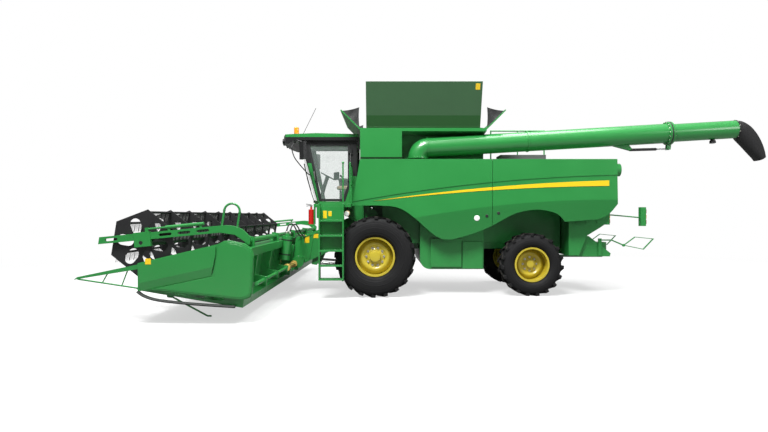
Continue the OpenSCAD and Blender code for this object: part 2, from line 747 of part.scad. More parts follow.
// Unloading auger, with its elbow over the tank's turret
module unloading_tube() {
  color(green) {
    translate([elbow_x, elbow_y, elbow_base_z]) {
      cylinder(h = bend_z - elbow_base_z, r = unload_r);
      translate([0, 0, bend_z - elbow_base_z - flange_t / 2]) cylinder(h = flange_t, r = unload_r + 16);
    }
    translate([elbow_x + bend_r, elbow_y, bend_z]) mirror([1, 0, 0]) rotate([90, 0, 0])
      rotate_extrude(angle = 90 - unload_slope, $fn = 96) translate([bend_r, 0]) circle(r = unload_r);
    translate([elbow_x, elbow_y, elbow_z]) {
      rotate([0, 90 - unload_slope, 0]) {
        translate([0, 0, bend_l]) cylinder(h = unload_l * fold_share - bend_l, r = unload_r);
        for (l = flange_places) translate([0, 0, l]) cylinder(h = flange_t, r = unload_r + 16);
        translate([0, 0, unload_l * fold_share - 60]) cylinder(h = 120, r = unload_r + 45);
        translate([0, 0, unload_l * fold_share]) cylinder(h = unload_l * (1 - fold_share), r = outer_tube_r);
      }
    }
  }
}

module unloading_spout() {
  rise = outer_tube_r * cos(unload_slope);
  lean = outer_tube_r * sin(unload_slope);
  color(black) side_profile([[tube_end_x - lean + gap, tube_end_z + rise], [tube_end_x + 200, tube_end_z + rise - 10],
    [tube_end_x + 420, tube_end_z + 40], [rear_end_x, tube_end_z - 560], [rear_end_x - 20, tube_end_z - 760],
    [rear_end_x - 130, tube_end_z - 800], [tube_end_x + lean + gap, tube_end_z - rise]],
    elbow_y - spout_w / 2, elbow_y + spout_w / 2);
}

// Feeder house and its lift cylinders
module feeder_house() {
  color(green) lifted() difference() {
    union() {
      side_profile([[face_x, 380], [face_x, 1120], [-1500, 1370], [-450, 1990], [-220, 1990], [-150, 1900],
        [-150, 1750], [-300, 1450], [-560, 1230], [-1850, 380]], -feeder_y, feeder_y);
      along_y(pivot_x, -ear_y - ear_t / 2 - 10, ear_y + ear_t / 2 + 10, pivot_z, pin_r);
      along_y(shaft_x + 90, -900, -feeder_y + 1, shaft_z + 60, 150);
      for (s = [-1, 1]) {
        rib = s * feeder_y + s * 5;
        side_profile([[-1900, 1070], [-1500, 1290], [-720, 1760], [-720, 1800], [-1500, 1330], [-1900, 1115]],
          rib - 7, rib + 7);
        side_profile([[-1560, 640], [-1520, 660], [-1520, 1310], [-1560, 1290]], rib - 7, rib + 7);
        side_profile([[-1060, 960], [-1020, 985], [-1020, 1600], [-1060, 1580]], rib - 7, rib + 7);
      }
      for (s = [-1, 1], o = [-60, 60])
        side_profile([[lift_eye_x - 70, lift_eye_z - 60], [lift_eye_x + 70, lift_eye_z - 60],
          [lift_eye_x + 160, lift_eye_z + 270], [lift_eye_x - 60, lift_eye_z + 120]],
          s * lift_y + o - 12, s * lift_y + o + 12);
      for (s = [-1, 1]) along_y(lift_eye_x, s * lift_y - 61, s * lift_y + 61, lift_eye_z, 22);
    }
    // Crop channel
    side_profile([[face_x - 1, 440], [face_x - 1, 1070], [-1510, 1315], [-800, 1730], [-800, 1140], [-1840, 450]],
      -feeder_y + 30, feeder_y - 30);
  }
}

eye_x = lifted_x(lift_eye_x, lift_eye_z);
eye_z = lifted_z(lift_eye_x, lift_eye_z);
lift_len = norm([eye_x - lift_base_x, eye_z - lift_base_z]);
lift_rise = atan2(eye_z - lift_base_z, lift_base_x - eye_x);

// Lays a cylinder's own +X along the line from its base pin to its eye
module along_lift() { translate([lift_base_x, 0, lift_base_z]) rotate([0, lift_rise, 0]) mirror([1, 0, 0]) children(); }

module lift_barrels() {
  color(black) along_lift() both_sides() difference() {
    union() {
      along_y(0, -lift_y - 35, -lift_y + 35, 0, 58);
      along_x(0, 820, -lift_y, 0, 58);
    }
    along_y(0, -lift_y - 80, -lift_y + 80, 0, 30 + gap);
    along_x(130, 900, -lift_y, 0, 34);
  }
}

module lift_rods() {
  color(grey) along_lift() both_sides() difference() {
    union() {
      along_x(460, lift_len - 30, -lift_y, 0, 33);
      along_y(lift_len, -lift_y - 40, -lift_y + 40, 0, 58);
    }
    along_y(lift_len, -lift_y - 80, -lift_y + 80, 0, 22 + eye_gap);
  }
}

module drive_shaft() {
  color([0.75, 0.6, 0.25]) lifted() {
    along_y(shaft_x, -1960, -950, shaft_z, 55);
    along_y(shaft_x, -2061 + gap, -1940, shaft_z, 85);
    along_y(shaft_x, -970, -900 - gap, shaft_z, 85);
  }
}

// Header
trough_half = end_y - end_t - gap;
back_x = -2240;
beam_x = -2060;
module header_frame() {
  color(green) lifted() difference() {
    union() {
      side_profile([[-3860, 15], [-2400, 0], [back_x, 0], [back_x, 1090], [back_x - 50, 1090], [back_x - 50, 320],
        [-2330, 170], [-2440, 70], [-2700, 52], [-3860, 58]], -trough_half, trough_half);
      box(back_x, beam_x, -trough_half, trough_half, 930, 1090);
      box(back_x, beam_x, -trough_half, trough_half, 0, 150);
      for (s = [-1, 1], k = [0 : 2]) {
        y = s * (strut_first_y + k * (strut_last_y - strut_first_y) / 2);
        box(back_x, beam_x, y - 40, y + 40, 149, 931);
      }
      for (s = [-1, 1]) box(back_x, face_x - gap, min(s * 660, s * 780), max(s * 660, s * 780), 149, 931);
      for (k = [-2 : 2])
        side_profile([[-2280, 1080], [-2080, 1080], [-2120, arm_pivot_z + 70], [-2260, arm_pivot_z + 70]],
          k * arm_bracket_y / 2 - 25, k * arm_bracket_y / 2 + 25);
      for (y = [-2200, -(2200 + strut_last_y) / 2, -strut_last_y]) side_profile([[beam_x - 1, 400], [shaft_x + 60, 400],
        [shaft_x + 60, 540], [beam_x - 1, 540]], y - 30, y + 30);
      along_y(shaft_x, -trough_half, -2061, shaft_z, 36);
      translate([-1990, -1900, 640]) cylinder(h = 560, r = 130);
      translate([-1990, -1900, 1190]) cylinder(h = 70, r = 60);
      for (s = [-1, 1]) side_profile([[stand_x - 70, 20], [stand_x - 40, -60], [stand_x + 40, -60], [stand_x + 70, 20]],
        s * stand_y - 50, s * stand_y - 30);
      for (s = [-1, 1]) side_profile([[stand_x - 70, 20], [stand_x - 40, -60], [stand_x + 40, -60], [stand_x + 70, 20]],
        s * stand_y + 30, s * stand_y + 50);
      for (s = [-1, 1]) along_y(stand_x, s * stand_y - 49, s * stand_y + 49, stand_z, 14);
    }
    box(back_x - 60, back_x + 1, -660, 660, 180, 900);
    along_y(arm_pivot_x, -end_y, end_y, arm_pivot_z, 45 + gap);
  }
}

// Upper front panel of an end shield, and the line below which it tucks under
wing = [[-4008, 499], [-2685, 1027], [-2665, 900], [-2672, 656], [-2690, 489], [-3891, 23]];
wing_tuck_x = -3850;
wing_tuck_z = 195;
wing_tuck_slope = 21.3;
dome = concat(smooth([[-2652, 1000], [-2620, 1090], [-2540, 1145], [-2443, 1165], [-2200, 1150], [-2080, 1090],
  [-2000, 960], [-1955, 640], [-1920, 297], [-1960, 200], [-2096, 143]], 2), [[-3516, 74], [-3800, 55], [-2660, 470]]);
skin = 36;

module header_ends() {
  color(green) lifted() both_sides() {
    side_profile([[-3941, 20], [-4020, 507], [-2661, 1066], [-2560, 1140], [-2443, 1165], [-2200, 1150],
      [-2060, 1080], [-2000, 960], [-1920, 297], [-1960, 200], [-2096, 143], [-3516, 74]], -end_y + skin, -end_y + end_t);
    difference() {
      side_profile(wing, -end_y, -end_y + skin + 1);
      translate([wing_tuck_x, -end_y, wing_tuck_z]) rotate([0, -wing_tuck_slope, 0])
        end_profile([[-10, 0], [0, 0], [skin, -170], [-10, -170]], -400, 1600);
    }
    // Rounded rear cover
    for (i = [0 : 3])
      side_profile([for (p = dome) dome_mid + (p - dome_mid) * (0.9 + 0.1 * sin(i * 30))],
        -end_y + skin * (1 - cos(i * 30)), -end_y + skin + 1);
    divider();
  }
}

dome_mid = [-2330, 620];

// Open crop divider: a blade over a lower rod, with links between
divider_y = -end_y + end_t / 2 + skin / 2;
module divider() {
  intersection() {
    side_profile([[-4000, 400], [-4000, 490], [tip_x + 60, tip_z + 60], [tip_x, tip_z]], -end_y, -end_y + end_t);
    translate([0, 0, -100]) linear_extrude(1000)
      polygon([[-3990, divider_y - 37], [tip_x, divider_y - 12], [tip_x, divider_y + 12], [-3990, divider_y + 37]]);
  }
  rod([-3935, divider_y, 60], [tip_x + 70, divider_y, tip_z + 22], 14);
  for (x = [-4250, -4600]) rod([x, divider_y, 62 - (x + 3935) * 0.005], [x + 60, divider_y, 440 + (x + 4000) * 0.36], 11);
}

module cutterbar() {
  pitch = 152.4;
  count = floor(trough_half / pitch);
  color(grey) lifted() {
    box(-3915, -3860 - gap, -trough_half, trough_half, 15, 58);
    for (i = [-count : count]) translate([0, i * pitch, 22]) linear_extrude(24)
      polygon([[-3914, -26], [-4010, -6], [-4010, 6], [-3914, 26]]);
  }
}

module intake_auger() {
  flight_l = trough_half - 760;
  turns = 7;
  color(green) lifted() translate([intake_x, 0, intake_z]) {
    along_y(0, -trough_half + 20, trough_half - 20, 0, 200);
    along_y(0, -trough_half, trough_half, 0, 40);
    both_sides() translate([0, -trough_half + 30, 0]) rotate([-90, 0, 0])
      linear_extrude(flight_l, twist = -360 * turns, slices = turns * 16, segments = 4, convexity = 8)
        translate([190, -7]) square([intake_r - 190, 14]);
  }
}

// Reel
arm_front_x = -4832;
arm_bend_x = -2700;
arm_h = 130;
arm_bend_z = 1330;
function arm_z(x) = arm_bend_z + (x - arm_bend_x) * tan(arm_slope);

// Cylinder that draws the reel back, along the top of an arm, measured from the reel's shaft
draw_h = arm_h / 2 + 62;
draw_r = 30;
draw_rod_r = 17;
draw_start = 430;
draw_end = 1130;
guard_x = -2540;
guard_bend_r = 140;
guard_tube_r = 20;
guard_h = 350;
module on_arm() { translate([reel_x, -arm_y, arm_z(reel_x)]) rotate([0, -arm_slope, 0]) children(); }

module reel_arms() {
  color(green) lifted() {
    both_sides() {
      difference() {
        side_profile(concat([[arm_pivot_x + 60, arm_pivot_z - 70], [arm_pivot_x + 60, arm_pivot_z + 70]],
          smooth([[-2290, arm_bend_z + 55], [-2420, arm_bend_z + 90], [-2560, arm_bend_z + 92],
            [arm_bend_x, arm_bend_z + arm_h / 2]], 3),
          [[arm_front_x, arm_z(arm_front_x) + arm_h / 2], [arm_front_x, arm_z(arm_front_x) - arm_h / 2],
            [arm_bend_x, arm_bend_z - arm_h / 2], [-2420, arm_bend_z - 60]]), -arm_y - arm_t / 2, -arm_y + arm_t / 2);
        on_arm() for (x = [-560, 420, 760, 1100])
          translate([x, arm_t, 0]) rotate([90, 0, 0]) linear_extrude(2 * arm_t) slot(180, 24);
      }
      on_arm() difference() {
        union() {
          along_x(draw_start, draw_end, 0, draw_h, draw_r);
          for (x = [draw_start + 60, draw_end - 60]) box(x - 20, x + 20, -14, 14, arm_h / 2 - 20, draw_h - draw_r + 10);
        }
        along_x(draw_start - 1, draw_end - 30, 0, draw_h, draw_rod_r + 2);
      }
    }
    along_y(arm_pivot_x, -arm_y, arm_y, arm_pivot_z, 45);
    // Hose guard
    for (s = [-1, 1]) translate([guard_x + s * guard_bend_r, -arm_y, arm_bend_z]) {
      cylinder(h = guard_h, r = guard_tube_r);
      translate([0, 0, guard_h - 15]) cylinder(h = 30, r = guard_tube_r + 4);
    }
    translate([guard_x, -arm_y, arm_bend_z + guard_h]) rotate([90, 0, 0])
      rotate_extrude(angle = 180) translate([guard_bend_r, 0]) circle(r = guard_tube_r);
  }
}

module reel_carriers() {
  drop = arm_z(reel_x) - reel_z;
  color(green) lifted() both_sides() difference() {
    on_arm() difference() {
      union() {
        box(-150, 150, -arm_t / 2 - 13, arm_t / 2 + 13, -arm_h / 2 - 120, arm_h / 2 + 15);
        box(60, 120, -18, 18, arm_h / 2 + 14, draw_h + draw_rod_r + 8);
        along_x(90, draw_start + 330, 0, draw_h, draw_rod_r);
      }
      box(-200, 200, -arm_t / 2 - 0.6, arm_t / 2 + 0.6, -arm_h / 2 - 0.6, arm_h / 2 + 0.6);
    }
    along_y(reel_x, -arm_y - 100, -arm_y + 100, reel_z, 35 + gap);
  }
}

module reel() {
  spiders = 9;
  tine_pitch = 200;
  count = floor(reel_half / tine_pitch) - 1;
  color(black) lifted() translate([reel_x, 0, reel_z]) {
    along_y(0, -reel_half, reel_half, 0, 80);
    along_y(0, -arm_y - arm_t / 2 - 12, arm_y + arm_t / 2 + 12, 0, 35);
    for (i = [0 : spiders]) {
      y = -reel_half + 10 + i * (2 * reel_half - 20) / spiders;
      rotate([90, 0, 0]) translate([0, 0, -y - 6]) linear_extrude(12) difference() {
        rotate(30) circle(r = reel_r + 55, $fn = 6);
        for (k = [0 : 5]) rotate(k * 60) translate([reel_r * 0.56, 0]) slot(110, 98);
      }
    }
    for (k = [0 : 5]) {
      bx = reel_r * cos(k * 60 + 30);
      bz = reel_r * sin(k * 60 + 30);
      along_y(bx, -reel_half + 5, reel_half - 5, bz, 22);
      translate([bx, 0, bz]) for (i = [-count : count]) box(-4, 4, i * tine_pitch - 5, i * tine_pitch + 5, -tine_l, -10);
    }
  }
}

module header_stand() {
  color(green) lifted() both_sides() difference() {
    union() {
      along_y(stand_x, -stand_y - 28, -stand_y + 28, stand_z, 30);
      rod([stand_x, -stand_y, stand_z - 10], [-2720, -stand_y, -290], 16);
      rod([-2722, -stand_y, -290], [-2650, -stand_y, -280], 16);
    }
    along_y(stand_x, -stand_y - 100, -stand_y + 100, stand_z, 14 + gap);
  }
}

place() main_frame();
place() front_axle();
place() threshing_body();
place() rear_hood();
place() grain_tank();
place() engine();
place() engine_deck();
place() cab_shell();
place() cab_roof();
place() cab_glass();
place() cab_seat();
place() landing();
place() straw_spreader();
place() rear_guards();
place() rear_axle();
place() mirrors();
place() fire_extinguisher();
place() unloading_tube();
place() unloading_spout();
place() ladder();
place() front_panel();  // side_panel_left_front
place() rear_panel();  // side_panel_left_rear
place() right_side() front_panel();  // side_panel_right_front
place() right_side() rear_panel();  // side_panel_right_rear
place() cab_door();
place() cab_door_glass();
place() side_flap();  // flap_left
place() right_side() side_flap();  // flap_right
place() end_flap(end_flap_front_x, -1);  // flap_front
place() end_flap(end_flap_rear_x, 1);  // flap_rear
place() gussets(end_flap_front_x, -1);  // gussets_front
place() gussets(end_flap_rear_x, 1);  // gussets_rear
place() left_front() front_tyre();  // front_tyre_left
place() left_front() front_rim();  // front_rim_left
place() right_side() left_front() front_tyre();  // front_tyre_right
place() right_side() left_front() front_rim();  // front_rim_right
place() left_rear() rear_tyre();  // rear_tyre_left
place() left_rear() rear_rim();  // rear_rim_left
place() right_side() left_rear() rear_tyre();  // rear_tyre_right
place() right_side() left_rear() rear_rim();  // rear_rim_right
place() knuckle();  // knuckle_left
place() right_side() knuckle();  // knuckle_right
place() feeder_house();
place() drive_shaft();
place() header_frame();
place() header_ends();
place() cutterbar();
place() intake_auger();
place() reel_arms();
place() reel_carriers();
place() reel();
place() lift_barrels();
place() lift_rods();
place() header_stand();
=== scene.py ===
import json
import math

import bmesh
import bpy
from mathutils import Matrix, Vector


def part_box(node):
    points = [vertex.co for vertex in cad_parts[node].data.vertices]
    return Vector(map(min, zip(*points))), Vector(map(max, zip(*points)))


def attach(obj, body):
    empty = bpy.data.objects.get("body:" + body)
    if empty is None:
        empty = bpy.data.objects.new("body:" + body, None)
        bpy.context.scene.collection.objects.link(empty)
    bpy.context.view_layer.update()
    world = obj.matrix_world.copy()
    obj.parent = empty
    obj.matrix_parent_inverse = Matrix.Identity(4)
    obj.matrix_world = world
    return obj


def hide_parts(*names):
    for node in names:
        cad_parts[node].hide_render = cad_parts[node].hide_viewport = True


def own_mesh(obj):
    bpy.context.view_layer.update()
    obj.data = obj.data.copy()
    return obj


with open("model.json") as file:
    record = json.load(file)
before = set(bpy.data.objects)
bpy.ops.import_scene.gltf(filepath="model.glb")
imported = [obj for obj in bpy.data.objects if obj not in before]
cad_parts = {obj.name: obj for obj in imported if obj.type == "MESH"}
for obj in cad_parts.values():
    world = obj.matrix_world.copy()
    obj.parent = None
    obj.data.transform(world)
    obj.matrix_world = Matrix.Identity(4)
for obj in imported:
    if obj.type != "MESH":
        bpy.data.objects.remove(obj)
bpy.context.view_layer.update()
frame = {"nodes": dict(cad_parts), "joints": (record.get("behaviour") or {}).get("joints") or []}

nodes = frame["nodes"]
sides = (("left", -1), ("right", 1))
rearward, rightward, upward = Vector((1, 0, 0)), Vector((0, 1, 0)), Vector((0, 0, 1))
print("loaded", len(nodes), "nodes")


# Places are given from the front axle's middle, with x to the rear and z from the ground

axle = (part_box("front_rim_left")[0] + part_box("front_rim_left")[1]) / 2
headerSettings = {"pivot": (-0.350, 0, 1.850), "lift": 9.0}    # the feeder's upper shaft


def fromAxle(x, y, z):
    return Vector((axle.x + x, y, z))


# a place on the level header, turned up with it
def lifted(x, y, z):
    pivot = Vector(headerSettings["pivot"])
    turn = Matrix.Rotation(math.radians(headerSettings["lift"]), 3, "Y")
    return fromAxle(*(pivot + turn @ (Vector((x, y, z)) - pivot)))


# Shader maths

class Wire:
    def __init__(self, tree, socket=None):
        self.tree = tree
        self.socket = socket

    def add(self, kind, settings=None, inputs=None, out=0):
        made = self.tree.nodes.new(kind)
        for name, value in (settings or {}).items():
            setattr(made, name, value)
        for key, value in (inputs or {}).items():
            if isinstance(value, Wire):
                self.tree.links.new(value.socket, made.inputs[key])
            else:
                made.inputs[key].default_value = value
        return Wire(self.tree, made.outputs[out] if len(made.outputs) else None)

    def maths(self, operation, first, second):
        return self.add("ShaderNodeMath", {"operation": operation}, {0: first, 1: second})

    def __add__(self, other):
        return self.maths("ADD", self, other)

    def __sub__(self, other):
        return self.maths("SUBTRACT", self, other)

    def __rsub__(self, other):
        return self.maths("SUBTRACT", other, self)

    def __mul__(self, other):
        return self.maths("MULTIPLY", self, other)

    def __gt__(self, other):
        return self.maths("GREATER_THAN", self, other)

    def __lt__(self, other):
        return self.maths("LESS_THAN", self, other)

    def __pow__(self, other):
        return self.maths("POWER", self, other)

    __radd__ = __add__
    __rmul__ = __mul__


# soft step from 0 at low to 1 at high
def softStep(value, low, high):
    return value.add("ShaderNodeMapRange", {"interpolation_type": "SMOOTHSTEP"},
                     {"Value": value, "From Min": low, "From Max": high})


def wave(value):
    return value.add("ShaderNodeMath", {"operation": "SINE"}, {0: value})


def mixColour(mask, first, second):
    return mask.add("ShaderNodeMix", {"data_type": "RGBA"}, {0: mask, 6: first, 7: second}, out=2)


def shade(colour, factor):
    return (colour[0] * factor, colour[1] * factor, colour[2] * factor, 1.0)


# one colour between a dark and a light shade
def patchy(mask, colour, shades):
    return mixColour(mask, shade(colour, shades[0]), shade(colour, shades[1]))


def noise(wire, where, scale, detail=3.0):
    return wire.add("ShaderNodeTexNoise", {}, {"Vector": where, "Scale": scale, "Detail": detail})


# relief, over edges that look rolled where edge gives a radius
def bump(wire, height, strength, distance, edge=None):
    inputs = {"Height": height, "Strength": strength, "Distance": distance}
    if edge:
        inputs["Normal"] = wire.add("ShaderNodeBevel", {"samples": 4}, {"Radius": edge})
    return wire.add("ShaderNodeBump", {}, inputs)


def axes(wire, where):
    split = wire.tree.nodes.new("ShaderNodeSeparateXYZ")
    wire.tree.links.new(where.socket, split.inputs[0])
    return [Wire(wire.tree, split.outputs[i]) for i in range(3)]


def startMaterial(name):
    made = bpy.data.materials.new(name)
    made.use_nodes = True
    made.node_tree.nodes.clear()
    wire = Wire(made.node_tree)
    where = wire.add("ShaderNodeTexCoord", out="Object")
    return made, wire, where


def closeMaterial(wire, inputs):
    shader = wire.add("ShaderNodeBsdfPrincipled", {}, inputs)
    wire.add("ShaderNodeOutputMaterial", {}, {"Surface": shader})


def setFinish(piece, finish):
    piece.data.materials.clear()
    piece.data.materials.append(finish)


# Camera, light and floor

cameraSettings = {
    "place": (-1.913, -15.65, 1.94),
    "focal": 580.0,          # pixels on an image 768 wide
    "imageWidth": 768,
    "sensor": 36.0,
}


def makeCamera():
    s = cameraSettings
    data = bpy.data.cameras.new("photoCamera")
    data.sensor_width = s["sensor"]
    data.lens = s["focal"] / s["imageWidth"] * s["sensor"]
    camera = bpy.data.objects.new("photoCamera", data)
    camera.location = s["place"]
    camera.rotation_euler = (math.radians(90), 0, 0)
    bpy.context.scene.collection.objects.link(camera)
    bpy.context.scene.camera = camera


lightSettings = {
    "sky": (1.0, 1.0, 1.0, 1.0),
    "skyStrength": 0.66,     # what lights the machine, from the zenith
    "horizon": 0.10,         # and from the horizon and below
    "zenith": 0.9,           # the sky is at full strength from this height
    "backdrop": 1.0,         # what the camera sees
    "lamps": [
        # name, place, target, size, watts
        ("keyLamp", (-6.0, -13.0, 19.0), (0.0, 0.0, 1.5), 7.0, 6900),
        ("topLamp", (2.0, -1.0, 18.0), (1.0, 0.0, 0.0), 12.0, 3600),
        ("fillLamp", (17.0, -16.0, 8.0), (1.0, 0.0, 1.5), 7.0, 1000),
    ],
}


def makeLights():
    s = lightSettings
    world = bpy.data.worlds.new("studio")
    world.use_nodes = True
    world.node_tree.nodes.clear()
    wire = Wire(world.node_tree)
    seen = wire.add("ShaderNodeLightPath", out="Is Camera Ray")
    height = axes(wire, wire.add("ShaderNodeTexCoord", out="Generated"))[2]
    glow = s["horizon"] + softStep(height, 0.0, s["zenith"]) * (s["skyStrength"] - s["horizon"])
    light = wire.add("ShaderNodeBackground", {}, {"Color": s["sky"], "Strength": glow})
    drop = wire.add("ShaderNodeBackground", {}, {"Color": s["sky"], "Strength": s["backdrop"]})
    both = wire.add("ShaderNodeMixShader", {}, {0: seen, 1: light, 2: drop})
    wire.add("ShaderNodeOutputWorld", {}, {"Surface": both})
    bpy.context.scene.world = world
    for name, place, target, size, watts in s["lamps"]:
        data = bpy.data.lights.new(name, "AREA")
        data.shape = "DISK"
        data.size = size
        data.energy = watts
        softbox = bpy.data.objects.new(name, data)
        softbox.location = place
        softbox.rotation_euler = (Vector(target) - Vector(place)).to_track_quat("-Z", "Y").to_euler()
        bpy.context.scene.collection.objects.link(softbox)


floorSettings = {
    "radius": 160.0,
    "clear": 9.0,            # the floor fades to the sky's white between these two distances
    "faded": 20.0,
    "colour": (0.86, 0.86, 0.86, 1.0),
    "bounce": (0.22, 0.22, 0.22, 1.0),
    "roughness": 0.7,
    "paleness": 0.58,        # how far the shadows are lifted
}


def makeFloor():
    s = floorSettings
    mesh = bpy.data.meshes.new("studioFloor")
    shape = bmesh.new()
    bmesh.ops.create_circle(shape, cap_ends=True, radius=s["radius"], segments=96)
    shape.to_mesh(mesh)
    shape.free()
    floor = bpy.data.objects.new("studioFloor", mesh)
    bpy.context.scene.collection.objects.link(floor)
    made, wire, where = startMaterial("studioFloor")
    away = wire.add("ShaderNodeVectorMath", {"operation": "LENGTH"}, {0: where}, out="Value")
    matt = wire.add("ShaderNodeBsdfPrincipled", {}, {"Base Color": s["colour"], "Roughness": s["roughness"]})
    plain = wire.add("ShaderNodeEmission", {}, {"Color": lightSettings["sky"],
                                                 "Strength": lightSettings["backdrop"]})
    white = softStep(away, s["clear"], s["faded"]) * (1 - s["paleness"]) + s["paleness"]
    pale = wire.add("ShaderNodeMixShader", {}, {0: white, 1: matt, 2: plain})
    # the machine gets less light back from the floor than the camera sees
    dull = wire.add("ShaderNodeBsdfDiffuse", {}, {"Color": s["bounce"]})
    seen = wire.add("ShaderNodeLightPath", out="Is Camera Ray")
    both = wire.add("ShaderNodeMixShader", {}, {0: seen, 1: dull, 2: pale})
    wire.add("ShaderNodeOutputMaterial", {}, {"Surface": both})
    setFinish(floor, made)


# Finishes

paintSettings = {
    "green": (0.022, 0.235, 0.048),
    "yellow": (0.84, 0.56, 0.012),
    # the yellow darkened as painted shade of the rims' deep dish
    "rimYellowPaintedShade": (0.50, 0.40, 0.028),
    "red": (0.55, 0.012, 0.010),
    "cloudScale": 1.3,
    "cloudShades": (0.90, 1.08),
    "roughness": 0.30,
    "roughSpread": 0.12,
    "peelScale": 170.0,      # orange peel of sprayed paint
    "peelStrength": 0.25,
    "peelDepth": 0.0004,
    "edgeWidth": 0.006,      # edges look rolled to this radius
    "coat": 0.35,
    "coatRoughness": 0.12,
    "dust": (0.20, 0.17, 0.11, 1.0),
    "dustFade": (0.1, 1.1),  # heights between which the dust ends
    "dustScale": 9.0,
    "dustPatch": (0.45, 0.75),
    "dustShare": 0.10,
    "dustRough": 2,
}


def paint(name, colour, roughness=None, trim=None):
    s = paintSettings
    made, wire, where = startMaterial(name)
    x, y, z = axes(wire, where)
    cloud = noise(wire, where, s["cloudScale"], 4.0)
    body = patchy(cloud, colour, s["cloudShades"])
    if trim:
        body = trim(wire, x, y, z, body)
    grime = noise(wire, where, s["dustScale"], 6.0)
    dusty = (1 - softStep(z, *s["dustFade"])) * softStep(grime, *s["dustPatch"]) * s["dustShare"]
    body = mixColour(dusty, body, s["dust"])
    rough = (roughness or s["roughness"]) + (cloud - 0.5) * s["roughSpread"] + dusty * s["dustRough"]
    peel = noise(wire, where, s["peelScale"], 1.0)
    normal = bump(wire, peel, s["peelStrength"], s["peelDepth"], s["edgeWidth"])
    closeMaterial(wire, {"Base Color": body, "Roughness": rough, "Normal": normal,
                         "Coat Weight": s["coat"], "Coat Roughness": s["coatRoughness"]})
    return made


plasticSettings = {
    "patchScale": 2.5,
    "patchShades": (0.8, 1.2),
    "roughSpread": 0.2,
    "grainStrength": 0.35,
    "edgeWidth": 0.004,
}


def plastic(name, colour, roughness=0.5, grain=420.0, depth=0.0005):
    s = plasticSettings
    made, wire, where = startMaterial(name)
    patch = noise(wire, where, s["patchScale"])
    body = patchy(patch, colour, s["patchShades"])
    fine = noise(wire, where, grain, 2.0)
    normal = bump(wire, fine, s["grainStrength"], depth, s["edgeWidth"])
    rough = roughness + (patch - 0.5) * s["roughSpread"]
    closeMaterial(wire, {"Base Color": body, "Roughness": rough, "Normal": normal})
    return made


steelSettings = {
    "streakScale": 60.0,
    "streakStrength": 0.2,
    "streakDepth": 0.0006,
    "patchScale": 4.0,
    "patchShades": (0.75, 1.1),
    "roughSpread": 0.3,
}


def steel(name, colour, roughness=0.33):
    s = steelSettings
    made, wire, where = startMaterial(name)
    streak = noise(wire, where, s["streakScale"], 5.0)
    patch = noise(wire, where, s["patchScale"])
    body = patchy(patch, colour, s["patchShades"])
    rough = roughness + (streak - 0.5) * s["roughSpread"]
    normal = bump(wire, streak, s["streakStrength"], s["streakDepth"])
    closeMaterial(wire, {"Base Color": body, "Roughness": rough, "Metallic": 1.0, "Normal": normal})
    return made


rubberSettings = {
    "colour": (0.0045, 0.0045, 0.005),
    "patchScale": 6.0,
    "patchShades": (0.8, 1.5),
    "dust": (0.10, 0.088, 0.068, 1.0),
    "scuffWidth": 0.03,      # the lugs are scuffed this far in
    "scuffPatch": (0.4, 0.7),
    "scuffShare": 0.4,
    "wall": (0.16, 0.12),    # the side wall ends between these, in from the lugs
    "rings": 130.0,          # moulded rings on the wall
    "ringDepth": 0.003,
    "ringStrength": 0.35,
    "grainScale": 160.0,
    "grainShare": 0.35,
    "edgeWidth": 0.010,
    "roughness": 0.62,
    "roughSpread": 0.25,
    "specular": 0.3,
}


def tyreRubber(name, wheel):
    s = rubberSettings
    lo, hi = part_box(wheel)
    middle = (lo + hi) / 2
    outer = (hi.z - lo.z) / 2
    made, wire, where = startMaterial(name)
    x, _, z = axes(wire, where)
    away = ((x - middle.x) ** 2 + (z - middle.z) ** 2) ** 0.5
    patch = noise(wire, where, s["patchScale"], 5.0)
    scuffed = softStep(away, outer - s["scuffWidth"], outer) * softStep(patch, *s["scuffPatch"])
    body = patchy(patch, s["colour"], s["patchShades"])
    body = mixColour(scuffed * s["scuffShare"], body, s["dust"])
    wall = 1 - softStep(away, outer - s["wall"][0], outer - s["wall"][1])
    grain = noise(wire, where, s["grainScale"], 2.0)
    height = wave(away * s["rings"]) * wall + grain * s["grainShare"]
    normal = bump(wire, height, s["ringStrength"], s["ringDepth"], s["edgeWidth"])
    closeMaterial(wire, {"Base Color": body, "Roughness": s["roughness"] + patch * s["roughSpread"],
                         "Normal": normal, "Specular IOR Level": s["specular"]})
    return made


glassSettings = {
    "tint": (0.55, 0.66, 0.62, 1.0),
    "filmScale": 5.0,        # a thin film of dust
    "filmPatch": (0.45, 0.9),
    "alpha": 0.10,
    "filmAlpha": 0.06,
    "roughness": 0.03,
    "filmRoughness": 0.04,
    "coatRoughness": 0.02,
    "ior": 1.5,
}


def glass(name):
    s = glassSettings
    made, wire, where = startMaterial(name)
    film = noise(wire, where, s["filmScale"], 4.0)
    alpha = s["alpha"] + softStep(film, *s["filmPatch"]) * s["filmAlpha"]
    rough = s["roughness"] + film * s["filmRoughness"]
    closeMaterial(wire, {"Base Color": s["tint"], "Roughness": rough, "Alpha": alpha, "IOR": s["ior"],
                         "Coat Weight": 1.0, "Coat Roughness": s["coatRoughness"]})
    return made


weaveSettings = {
    "lean": 0.5,             # the threads climb with height
    "weaveShare": 0.6,
    "patchShare": 0.4,
    "patchScale": 12.0,
    "shades": (0.7, 1.15),
    "strength": 0.4,
    "depth": 0.0012,
    "roughSpread": 0.1,
    "sheen": 0.25,
}


